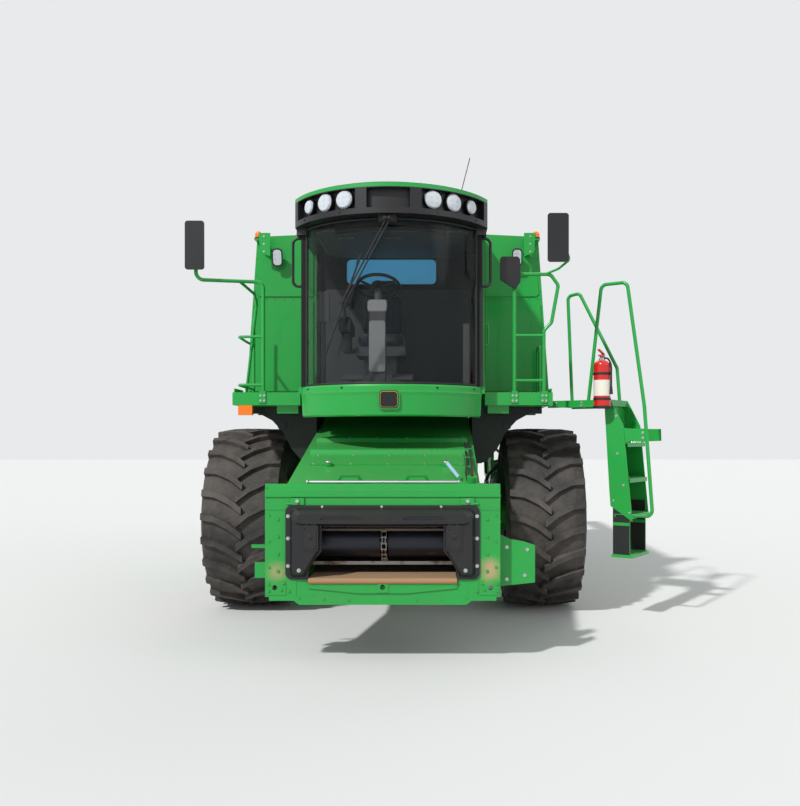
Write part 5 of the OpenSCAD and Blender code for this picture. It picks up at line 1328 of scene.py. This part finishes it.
@dataclass
class RoofTrim:
    """Bezels and glasses of the roof lamps, and the roof's edge."""

    finishes: Finishes
    lamps: Sequence[tuple[float, float]] = ((24, 80), (36.5, 80), (49.5, 62.4))

    def build(self) -> None:
        """Makes the pieces."""
        bezels, glass = Form(), Form()
        for side in (-1, 1):
            for turn, radius in self.lamps:
                a = math.radians(side * turn)
                out = Vector((math.sin(a), -math.cos(a), 0))
                at = Vector((0, ROOF_Y, GLASS_TOP + 140)) + out * (ROOF_R - 26)
                bezels.turned(((radius * 0.99, -26), (radius + 6, -24), (radius + 7, 2), (radius + 2, 6),
                               (radius * 0.99, 2)), at, out, 44)
                glass.turned(((0, 14.6), (radius * 0.85, 14.6), (radius * 0.84, 16), (radius * 0.6, 18.4),
                              (radius * 0.3, 19.8), (0, 20.4)), at, out, 44)
        bezels.build("lamp_bezels", self.finishes["moulded_black"], "root")
        glass.build("lamp_glasses", self.finishes["lamp_lens"], "root")
        gutter = Form()
        rim = [Vector(((ROOF_R - 20) * math.sin(a), ROOF_Y - (ROOF_R - 20) * math.cos(a), GLASS_TOP + 262))
               for a in (math.radians(-60 + 120 * i / 60) for i in range(61))]
        gutter.tube(rim, 7, 8)
        gutter.build("roof_gutter", self.finishes["matt_black"], "root")


@dataclass
class Seat:
    """The operator's seat: sewn, padded cushions over the place of the CAD's soft block."""

    finishes: Finishes
    cap: float = 0.012
    voxel: float = 0.008

    def build(self) -> None:
        """Makes the cushion, the back and the head rest."""
        x, y, z = OPERATOR_X, CAB_Y, FLOOR_Z + 430
        lean = Vector((0, 0.16, 1))
        pieces = (
            self.pad("seat_cushion", rounded(476, 436, 90), (x, y + 170, z + 2), (1, 0, 0), (0, 1, 0),
                     106, 30, 0.115),
            self.pad("seat_back", rounded(440, 468, 110), (x, y + 470, z + 345), (1, 0, 0), lean, 84, 26, 0.115),
            self.pad("head_rest", rounded(262, 128, 52), (x, y + 518, z + 657), (1, 0, 0), lean, 70, 24, 0.0),
        )
        for piece in pieces:
            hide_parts("operator_seat")

    def pad(self, name: str, outline: Sequence[tuple[float, float]], at: Sequence[float], u: Sequence[float],
            v: Sequence[float], thick: float, edge: float, channel: float) -> bpy.types.Object:
        """Makes one padded piece.

        Args:
            name: The piece's name.
            outline: The pad's outline about its middle.
            at: Its middle, on its back.
            u: Direction across.
            v: Direction along.
            thick: Its thickness.
            edge: How far its edges are rounded.
            channel: Where its two sewn channels run, in metres either side of its middle line; 0 for none.

        Returns:
            The piece.
        """
        form = Form()
        form.slab(outline, at, u, v, thick, edge)
        u, v = Vector(u).normalized(), Vector(v).normalized()
        bmesh.ops.recalc_face_normals(form.mesh, faces=form.mesh.faces)
        for vert in form.mesh.verts:
            vert.co = metres(vert.co)
        mesh = bpy.data.meshes.new(name + "_shape")
        form.mesh.to_mesh(mesh)
        form.mesh.free()
        pad = self.applied(mesh, "REMESH", mode="VOXEL", voxel_size=self.voxel)
        pad = self.swollen(pad)
        middle, out = metres(at), u.cross(v)
        for vert in pad.vertices:
            place = vert.co - middle
            across, along, height = place.dot(u), place.dot(v), place.dot(out)
            if channel and height > thick * 0.0005:
                seam = max(math.exp(-((abs(across) - channel) / 0.006) ** 2),
                           0.8 * math.exp(-((along - 0.06) / 0.006) ** 2) * (abs(across) < channel))
                vert.co -= out * (0.007 * seam)
        final = self.applied(pad, "SUBSURF", levels=1, render_levels=1)
        final.name = name
        piece = settle(name, final, self.finishes["seat_cloth"], "root", 80)
        return piece

    def applied(self, mesh: bpy.types.Mesh, kind: str, **settings: object) -> bpy.types.Mesh:
        """Applies one modifier to a mesh and gives the new mesh."""
        worker = bpy.data.objects.new("worker", mesh)
        bpy.context.scene.collection.objects.link(worker)
        modifier = worker.modifiers.new("step", kind)
        for key, value in settings.items():
            setattr(modifier, key, value)
        made = bpy.data.meshes.new_from_object(worker.evaluated_get(bpy.context.evaluated_depsgraph_get()))
        bpy.data.objects.remove(worker)
        return made

    def swollen(self, mesh: bpy.types.Mesh) -> bpy.types.Mesh:
        """Blows a pad up under cloth pressure, with each point's move capped."""
        scene = bpy.context.scene
        worker = bpy.data.objects.new("worker", mesh)
        scene.collection.objects.link(worker)
        cloth = worker.modifiers.new("cloth", "CLOTH").settings
        cloth.use_pressure = True
        cloth.uniform_pressure_force = 4
        cloth.effector_weights.gravity = 0
        cloth.quality = 4
        for step in range(1, 19):
            scene.frame_set(step)
        made = bpy.data.meshes.new_from_object(worker.evaluated_get(bpy.context.evaluated_depsgraph_get()))
        scene.frame_set(1)
        for before, after in zip(mesh.vertices, made.vertices):
            move = after.co - before.co
            if move.length > self.cap:
                after.co = before.co + move * (self.cap / move.length)
        bpy.data.objects.remove(worker)
        return made


@dataclass
class PlatformTrim:
    """Grip studs, mirror glasses, lamps and bolts of the two platforms and the tank's front."""

    finishes: Finishes
    pegs: Pegs

    def build(self) -> None:
        """Makes the pieces."""
        self.decks()
        self.mirror_glass()
        self.tank_front()
        self.beacon_feet()
        self.bolts()

    def decks(self) -> None:
        """Studs the decks."""
        studs = self.pegs.of("tooth", "root")
        for side in (-1, 1):
            for i in range(15):
                studs.row((side * (905 + i * 40), DECK_FRONT + 70, DECK_Z),
                          (side * (905 + i * 40), -70, DECK_Z), 22, (0, 0, 1), 1.1)

    def mirror_glass(self) -> None:
        """Sets the glasses into the mirrors' backs, towards the cab."""
        form = Form()
        for x, z, y in ((-1787.5, 3504, -1302.3), (1520, 3574, -1305.3)):
            form.slab(rounded(116, 380, 16), (x, y, z), (-1, 0, 0), (0, 0, 1), 2, 0.6)
        form.build("mirror_glasses", self.finishes["mirror_glass"], "root")
        rims = Form()
        for x, z, y in ((-1787.5, 3504, -1302.3), (1520, 3574, -1305.3)):
            rims.tube([(x + a, y, z + b) for a, b in rounded(128, 392, 20)], 6, 8, 1.0, True)
        rims.build("mirror_rims", self.finishes["moulded_black"], "root")

    def tank_front(self) -> None:
        """Fits the work lamps' glasses and rims."""
        glass, rim = Form(), Form()
        for side in (-1, 1):
            at = Vector((side * 1265, TANK_Y - 60, TANK_TOP - 232))
            facing = Vector((0, -math.cos(math.radians(12)), -math.sin(math.radians(12))))
            up = Vector((0, -math.sin(math.radians(12)), math.cos(math.radians(12))))
            glass.slab(rounded(88, 160, 34), at + facing * 68, (1, 0, 0), up, 3, 1)
            rim.tube([at + facing * 69 + Vector((1, 0, 0)) * a + up * b for a, b in rounded(96, 170, 38)],
                     5, 8, 1.0, True)
        glass.build("work_lamp_glasses", self.finishes["lamp_lens"], "root")
        rim.build("work_lamp_rims", self.finishes["matt_black"], "root")

    def beacon_feet(self) -> None:
        """Fits the beacons' black feet."""
        form = Form()
        for side in (-1, 1):
            form.turned(((38.2, 0), (43, 0), (43, 14), (40, 20), (38.2, 20)),
                        (side * 1466, TANK_Y - 100, TANK_TOP - 51.7), (0, 0, 1), 32)
        form.build("beacon_feet", self.finishes["matt_black"], "root")

    def bolts(self) -> None:
        """Puts the bolts of the rail feet, brackets, tank front and gussets."""
        bolts, rivets = self.pegs.of("bolt", "root"), self.pegs.of("rivet", "root")
        for x in (1149, 1429, -1225):
            for dx in (-18, 18):
                for dz in (-78, -30):
                    bolts.put((x + dx, DECK_FRONT - 12, DECK_Z + dz), (0, -1, 0), 0.85)
        for side in (-1, 1):
            for k in range(9):
                z = 2300 + k * 170
                rivets.put((side * (1604 - (z - 2180) * 0.0698), TANK_Y, z), (0, -1, 0), 0.9)
            rivets.row((side * 930, TANK_Y, 3236), (side * 1500, TANK_Y, 3236), 7, (0, -1, 0), 0.9)
            for dz in (-190, -110, -30):
                bolts.put((side * 1400, TANK_Y - 150, TANK_TOP + dz), (0, -1, 0), 0.8)
            gusset = self.pegs.of("frame_bolt", "root")
            for x, z in ((900, 1600), (930, 1750), (1010, 1850), (1120, 1985), (1240, 1985)):
                gusset.put((side * x, -690, z), (0, -1, 0), 1.0)
            gusset.row((side * 1300, -700, 2022), (side * 1420, -700, 2022), 2, (0, -1, 0), 1.0)


@dataclass
class LadderTrim:
    """Tread teeth, bolts, rubber flaps and the fire extinguisher's fittings."""

    finishes: Finishes
    pegs: Pegs

    def build(self) -> None:
        """Makes the pieces."""
        self.treads()
        self.flaps()
        self.extinguisher()

    def treads(self) -> None:
        """Puts teeth on the treads and bolts on the side plates."""
        teeth, bolts = self.pegs.of("tooth", "swing_ladder"), self.pegs.of("bolt", "swing_ladder")
        for i in range(3):
            for k in range(5):
                n = 652 + i * 20 + k * 30
                teeth.row(on_ladder(n, 40, 1706 - i * 340), on_ladder(n, 430, 1706 - i * 340), 11, (0, 0, 1), 1.15)
        for k in range(6):
            teeth.row(on_ladder(660 + k * 34, 40, 640), on_ladder(660 + k * 34, 430, 640), 11, (0, 0, 1), 1.15)
        out = Matrix.Rotation(LADDER_TURN, 3, "Z") @ Vector((0, -1, 0))
        for n, z in ((600, 2052), (640, 2062), (690, 1960), (700, 1600), (760, 1300), (820, 1040), (660, 1150),
                     (950, 1800), (950, 1750)):
            bolts.put(on_ladder(n, 20 if n == 950 else 12, z), out, 1.0)
        for n in (60, 330, 560):
            bolts.put(on_ladder(n, 10, 2095), out, 0.9)
            bolts.put(on_ladder(n, 10, 2068), out, 0.9)

    def flaps(self) -> None:
        """Clads the two rubber flaps and their clamping bars."""
        rubber, bars = Form(), Form()
        along = Matrix.Rotation(LADDER_TURN, 3, "Z") @ Vector((1, 0, 0))
        across = Matrix.Rotation(LADDER_TURN, 3, "Z") @ Vector((0, 1, 0))
        for t in (23, 435):
            for side in (-1, 1):
                start = on_ladder(735, t + 6 + side * 5.4, 890)
                rubber.slab(rounded(166, 500, 8), start, along * -side, (0, 0, 1), 2.4, 0.8)
                bars.slab(rounded(166, 30, 5), start + across * (side * 2) + Vector((0, 0, 40)),
                          along * -side, (0, 0, 1), 5, 1)
        rubber.build("step_flaps", self.finishes["matt_black"], "swing_ladder")
        bars.build("flap_bars", self.finishes["green_enamel"], "swing_ladder")

    def extinguisher(self) -> None:
        """Fits the extinguisher's bare label, straps, collar, gauge, valve and bracket."""
        axis = on_ladder(580, -70.3, 0)
        def band(low: float, high: float, radius: float, wall: float) -> tuple[tuple[float, float], ...]:
            """Gives the profile of a thin ring."""
            return ((radius, low), (radius + wall, low), (radius + wall, high), (radius, high))
        label, straps, metal = Form(), Form(), Form()
        label.turned(band(2150, 2300, 80.2, 0.8), axis, (0, 0, 1), 48)
        label.build("bare_label", self.finishes["pale_label"], "swing_ladder")
        for z in (2110, 2350):
            straps.turned(band(z, z + 22, 80.2, 3.0), axis, (0, 0, 1), 48)
        straps.turned(((80.2, 2036), (86, 2032), (86, 2052), (80.2, 2056)), axis, (0, 0, 1), 48)
        across = Matrix.Rotation(LADDER_TURN, 3, "Z") @ Vector((0, 1, 0))
        along = Matrix.Rotation(LADDER_TURN, 3, "Z") @ Vector((1, 0, 0))
        straps.slab([(a, b + 2230) for a, b in rounded(60, 340, 12)], axis + across * 76,
                    along * -1, (0, 0, 1), 5, 1.5)
        straps.build("bottle_straps", self.finishes["matt_black"], "swing_ladder")
        metal.turned(((0, 2484), (28, 2484), (30, 2490), (30, 2500), (24, 2512), (0, 2512)), axis, (0, 0, 1), 32)
        metal.turned(((0, 0), (17, 0), (17, 10), (13, 14), (0, 14)), axis + Vector((0, 0, 2504)) - across * 20,
                     across * -1, 28)
        metal.build("bottle_valve", self.finishes["bright_steel"], "swing_ladder")
        nozzle = Form()
        nozzle.tube(smooth_path((axis + along * 18 + Vector((0, 0, 2512)), axis + along * 62 + Vector((0, 0, 2500)),
                                 axis + along * 90 + Vector((0, 0, 2440)), axis + along * 93 + Vector((0, 0, 2330)),
                                 axis + along * 93 + Vector((0, 0, 2230)))), 9, 12)
        nozzle.turned(((0, 0), (11, 0), (17, -70), (0, -70)), axis + along * 93 + Vector((0, 0, 2236)), (0, 0, 1), 24)
        nozzle.build("bottle_nozzle", self.finishes["matt_black"], "swing_ladder")


@dataclass
class WheelTrim:
    """Wheel nuts, hub caps, valves and sidewall ribs."""

    finishes: Finishes
    pegs: Pegs

    def build(self) -> None:
        """Makes each wheel's pieces."""
        for side, word in ((-1, "right"), (1, "left")):
            self.wheel(f"front_wheel_{word}", (side * 1490, 0, 925), side, (405, 785, 925), -170, 150, 10)
            self.wheel(f"rear_wheel_{word}", (side * 1450, 3570, 720), side, (300, 450, 720), -60, 90, 8)

    def wheel(self, body: str, at: Point, side: int, sizes: tuple[float, float, float], disc: float, hub: float,
              nuts: int) -> None:
        """Dresses one wheel.

        Args:
            body: The wheel's body.
            at: Its middle.
            side: 1 on the left of the machine, -1 on the right.
            sizes: Radius of the rim's seat, width and radius of the tyre.
            disc: Where the disc lies from the middle, outwards.
            hub: Radius of the hub.
            nuts: How many wheel nuts it has.
        """
        seat, width, radius = sizes
        middle, out = Vector(at), Vector((side, 0, 0))
        face = middle + out * (disc + 20)
        self.pegs.of("nut", body).circle(face, out, hub + 30, nuts)
        self.pegs.of("bolt", body).circle(middle + out * (disc + 80), out, hub * 0.80, 8, 1.1)
        trim, ribs = Form(), Form()
        half = width / 2
        for level, across in ((seat + 52, 0.424), (seat + (radius - seat) * 0.30, 0.466),
                              (seat + (radius - seat) * 0.42, 0.491),
                              (seat + (radius - seat) * 0.60, 0.4985)):
            place = across * 2 * half
            ribs.turned(((level - 7, place - 4), (level - 5, place + 3), (level, place + 5.5), (level + 5, place + 3),
                         (level + 7, place - 4)), middle, out, 120)
        ribs.build(f"sidewall_ribs_{body}", self.finishes["tyre_wall"], body)
        trim.turned(((0, 0), (hub * 0.42, 0), (hub * 0.42, 6), (hub * 0.3, 12), (0, 12)),
                    middle + out * (disc + 119), out, 32)
        trim.tube(smooth_path((face + Vector((0, 0, seat - 92)), face + out * 30 + Vector((0, 0, seat - 88)),
                               face + out * 70 + Vector((0, 0, seat - 76)))), 6, 8)
        trim.build(f"hub_cap_{body}", self.finishes["bright_steel"], body)


@dataclass
class BodyTrim:
    """Seam rivets, the rotary screen's wire cover and reflectors of the rear body."""

    finishes: Finishes
    pegs: Pegs

    def build(self) -> None:
        """Makes the pieces."""
        self.rivets()
        self.screen_wire()
        self.lamp_rims()
        self.side_reflectors()
        self.boot()

    def rivets(self) -> None:
        """Runs rivets and bolts along the body's seams."""
        rivets, bolts = self.pegs.of("rivet", "root"), self.pegs.of("bolt", "root")
        for x, side in ((1130, 1), (-1450, -1)):
            rivets.row((x, 140, 2275), (x, 4300, 2275), 34, (side, 0, 0))
            rivets.row((x, 2560, 3380), (x, 3160, 3380), 6, (side, 0, 0))
            rivets.row((x, 3640, 3380), (x, 4300, 3380), 6, (side, 0, 0))
            for y in (2530, 4320):
                rivets.row((x, y, 2330), (x, y, 3340), 9, (side, 0, 0))
            rivets.row((x, 140, 3800), (x, 2420, 3800), 19, (side, 0, 0), 0.9)
        for side in (-1, 1):
            rivets.row((side * 820, HOOD_Y + 60, 1400), (side * 820, HOOD_Y + 60, 2900), 13, (side, 0, 0))
            rivets.row((side * 820, HOOD_Y + 200, 1260), (side * 820, HOOD_Y + 1180, 1260), 9, (side, 0, 0))
            bolts.row((side * 698, 860, 770), (side * 698, 1160, 770), 4, (side, 0, 0))
            bolts.row((side * 698, 860, 1000), (side * 698, 1160, 1000), 4, (side, 0, 0))
            bolts.row((side * 698, 1600, 770), (side * 698, 1900, 770), 4, (side, 0, 0))
            bolts.row((side * 698, 1600, 1000), (side * 698, 1900, 1000), 4, (side, 0, 0))
        for word, side in (("left", 1), ("right", -1)):
            shield = self.pegs.of("rivet", f"{word}_shield")
            shield.row((side * 1090, 1100, 2150), (side * 1090, 4180, 2150), 17, (side, 0, 0))
            shield.row((side * 1090, 1100, 1330), (side * 1090, 2100, 1330), 6, (side, 0, 0))
        auger = self.pegs.of("bolt", "auger")
        for angle in range(15, 375, 30):
            a = math.radians(angle)
            auger.put((1355 + 178 * math.cos(a), 445 + 178 * math.sin(a), 3039), (0, 0, 1), 0.9)
        self.pegs.of("rivet", "left_lid").row((1110, 160, 3871), (1110, 2400, 3871), 12, (0.03, 0, 1), 0.9)
        self.pegs.of("rivet", "right_lid").row((-1430, 160, 3871), (-1430, 2400, 3871), 12, (-0.03, 0, 1), 0.9)

    def screen_wire(self) -> None:
        """Stretches a wire screen over the rotary screen's drum."""
        mesh = bmesh.new()
        bmesh.ops.create_grid(mesh, x_segments=50, y_segments=50, size=0.485)
        bmesh.ops.triangulate(mesh, faces=mesh.faces)
        far = [vert for vert in mesh.verts if vert.co.length > 0.472]
        bmesh.ops.delete(mesh, geom=far, context="VERTS")
        middle = metres((-1543.5, 3400, 2880))
        for vert in mesh.verts:
            vert.co = middle + Vector((0, vert.co.x, vert.co.y))
        plate = bpy.data.meshes.new("screen_plate")
        mesh.to_mesh(plate)
        mesh.free()
        MeshScreenTree().run("radiator_wire", plate, {"Wire Radius": 0.0013, "Finish": self.finishes["bright_steel"]},
                             "radiator_screen")

    def lamp_rims(self) -> None:
        """Rims the rear lamps."""
        form = Form()
        for side in (-1, 1):
            form.turned(((60.3, 0), (68, 0), (68, 26), (60.3, 28)), (side * 690, HOOD_Y + 1540, 1790), (0, 1, 0), 36)
            outline = [(a + side * 690, b + 1905) for a, b in rounded(176, 66, 10)]
            form.tube([(a, HOOD_Y + 1552, b) for a, b in outline], 5, 8, 1.0, True)
        form.build("rear_lamp_rims", self.finishes["matt_black"], "root")

    def side_reflectors(self) -> None:
        """Sets amber reflectors along the body."""
        form = Form()
        for side in (-1, 1):
            for y in (300, 780):
                form.slab(rounded(100, 40, 8), (side * 820, HOOD_Y + y, 1350), (0, side, 0), (0, 0, 1), 6, 2)
        form.build("side_reflectors", self.finishes["amber_lens"], "root")

    def boot(self) -> None:
        """Straps the auger spout's soft boot."""
        form = Form()
        form.turned(((175.4, 0), (179, 0), (179, 22), (175.4, 22)), (1355, 5925, 3350 - 300), (0, 0, 1), 48)
        form.turned(((175.4, 0), (178, 0), (176.5, -72), (175.2, -72)), (1355, 5925, 3350 - 286), (0, 0, 1), 48)
        form.build("boot_straps", self.finishes["matt_black"], "auger")


@dataclass
class Hoses:
    """Two hydraulic hoses from the frame's valve block down to the top of the left final drive."""

    finishes: Finishes
    across: float = 22.0
    bend: float = 92.0
    slope: float = math.radians(70)
    routes: Sequence[tuple[str, Point, Point]] = (
        ("drive_hose_upper", (975, -380, 1650), (956, -40, 1268)),
        ("drive_hose_lower", (975, -470, 1640), (930, -102, 1268)))

    def build(self) -> None:
        """Makes the hoses with their end fittings."""
        for name, start, end in self.routes:
            path = self.route(Vector(start), Vector(end))
            form = Form()
            form.tube(path, self.across / 2, 12)
            hose = form.build(name, self.finishes["hose_rubber"], "root")
            ends = Form()
            for at, towards in ((path[0], path[1]), (path[-1], path[-2])):
                ends.turned(((0, -4), (15, -4), (15, 26), (12.5, 40), (0, 40)), at, towards - at, 6)
            fittings = ends.build(name + "_ends", self.finishes["bright_steel"], "root")

    def route(self, start: Vector, end: Vector) -> list[Vector]:
        """Leads a hose out sideways, over and down, across in one long slope, and straight onto the drive.

        Args:
            start: Where it leaves the block, looking out from the machine.
            end: Where it meets the drive.

        Returns:
            The points of its centreline.
        """
        r, down, turns = self.bend, Vector((0, 0, -1)), [self.slope * k / 6 for k in range(7)]
        path = [start + Vector((r * math.sin(a), 0, r * (math.cos(a) - 1))) for a in
                (math.radians(15 * k) for k in range(7))]
        first = path[-1]
        across = Vector((end.x - first.x, end.y - first.y, 0))
        straight = (across.length - 2 * r * (1 - math.cos(self.slope))) / math.sin(self.slope)
        across.normalize()
        arc = [across * (r * (1 - math.cos(a))) + down * (r * math.sin(a)) for a in turns]
        path += [first + point for point in arc[1:]]
        last = path[-1] + (across * math.sin(self.slope) + down * math.cos(self.slope)) * straight
        path += [path[-1].lerp(last, share) for share in (0.33, 0.67)]
        path += [last + arc[-1] - point for point in reversed(arc)]
        return [*path, end]


# ---- stage

@dataclass(frozen=True)
class Stage:
    """The pale floor and backdrop, the lamps, and the camera at the photo's place."""

    camera_at: Point
    focal_mm: float
    shift: tuple[float, float]

    def build(self) -> None:
        """Makes the floor, the world, the lamps and the camera."""
        self.floor()
        self.world()
        self.lamps()
        self.camera()
        log.info("stage set")

    def pale(self, name: str, colour: Colour) -> bpy.types.Material:
        """Makes a floor finish that shows its own colour to the camera, with the machine's shadow on it."""
        shade = Shade(name)
        shade.finish(Base_Color=colour, Roughness=0.9)
        return shade.material

    def floor(self) -> None:
        """Lays a wide pale floor under the machine."""
        mesh = bpy.data.meshes.new("floor")
        reach = 60
        mesh.from_pydata([(-reach, -reach, 0), (reach, -reach, 0), (reach, reach, 0), (-reach, reach, 0)], [],
                         [(0, 1, 2, 3)])
        floor = bpy.data.objects.new("floor", mesh)
        floor.location.z = -0.001
        mesh.materials.append(self.pale("floor_paint", srgb(214, 214, 212)))
        bpy.context.scene.collection.objects.link(floor)

    def world(self) -> None:
        """Sets the sky: plain soft light, and a pale backdrop where the camera, gloss or glass looks at it."""
        world = bpy.data.worlds.new("studio")
        bpy.context.scene.world = world
        world.use_nodes = True
        tree = world.node_tree
        light = tree.nodes["Background"]
        light.inputs["Color"].default_value = (0.93, 0.96, 1.0, 1)
        light.inputs["Strength"].default_value = 0.5
        seen = tree.nodes.new("ShaderNodeBackground")
        seen.inputs["Color"].default_value = (*srgb(232, 234, 236), 1)
        path = tree.nodes.new("ShaderNodeLightPath")
        mix = tree.nodes.new("ShaderNodeMixShader")
        most = [tree.nodes.new("ShaderNodeMath") for _ in range(2)]
        for node in most:
            node.operation = "MAXIMUM"
        tree.links.new(path.outputs["Is Camera Ray"], most[0].inputs[0])
        tree.links.new(path.outputs["Is Glossy Ray"], most[0].inputs[1])
        tree.links.new(most[0].outputs[0], most[1].inputs[0])
        tree.links.new(path.outputs["Is Transmission Ray"], most[1].inputs[1])
        tree.links.new(most[1].outputs[0], mix.inputs[0])
        tree.links.new(light.outputs[0], mix.inputs[1])
        tree.links.new(seen.outputs[0], mix.inputs[2])
        tree.links.new(mix.outputs[0], tree.nodes["World Output"].inputs["Surface"])

    def lamps(self) -> None:
        """Hangs a soft key lamp high at the front and a weak fill opposite."""
        for name, turn, strength, spread in (
                ("key", (48, 0, -38), 3.1, 2.5), ("fill", (60, 0, 60), 0.35, 40), ("back", (55, 0, 160), 0.5, 40)):
            light = bpy.data.lights.new(name, "SUN")
            light.energy = strength
            light.angle = math.radians(spread)
            lamp = bpy.data.objects.new(name, light)
            lamp.rotation_euler = [math.radians(part) for part in turn]
            bpy.context.scene.collection.objects.link(lamp)

    def camera(self) -> None:
        """Puts the camera where the photo was taken from."""
        data = bpy.data.cameras.new("camera")
        data.sensor_width = SENSOR_MM
        data.lens = self.focal_mm
        data.shift_x, data.shift_y = self.shift
        data.clip_end = 200
        camera = bpy.data.objects.new("camera", data)
        camera.location = self.camera_at
        camera.rotation_euler = (math.radians(90), 0, 0)
        bpy.context.scene.collection.objects.link(camera)
        bpy.context.scene.camera = camera


def main() -> None:
    """Builds and dresses the machine and its stage."""
    logging.basicConfig(level=logging.INFO, format="%(message)s")
    bpy.context.scene.view_settings.view_transform = "Standard"
    across, ahead, height = CAMERA_PLACE
    Stage(camera_at=(centre_plane() + across, front_axle() - ahead, height),
          focal_mm=PHOTO_FOCAL * SENSOR_MM / PHOTO_SIZE[1],
          shift=(PHOTO_SHIFT[0] / PHOTO_SIZE[1], PHOTO_SHIFT[1] / PHOTO_SIZE[1])).build()
    finishes = Finishes()
    dress_nodes(finishes)
    pegs = Pegs(finishes)
    for assembly in (FeederTrim(finishes, pegs), CabTrim(finishes, pegs), RoofTrim(finishes), Seat(finishes),
                     PlatformTrim(finishes, pegs), LadderTrim(finishes, pegs), WheelTrim(finishes, pegs),
                     BodyTrim(finishes, pegs), Hoses(finishes)):
        log.info("building %s", type(assembly).__name__)
        assembly.build()
    pegs.build()


if __name__ == "__main__":
    main()
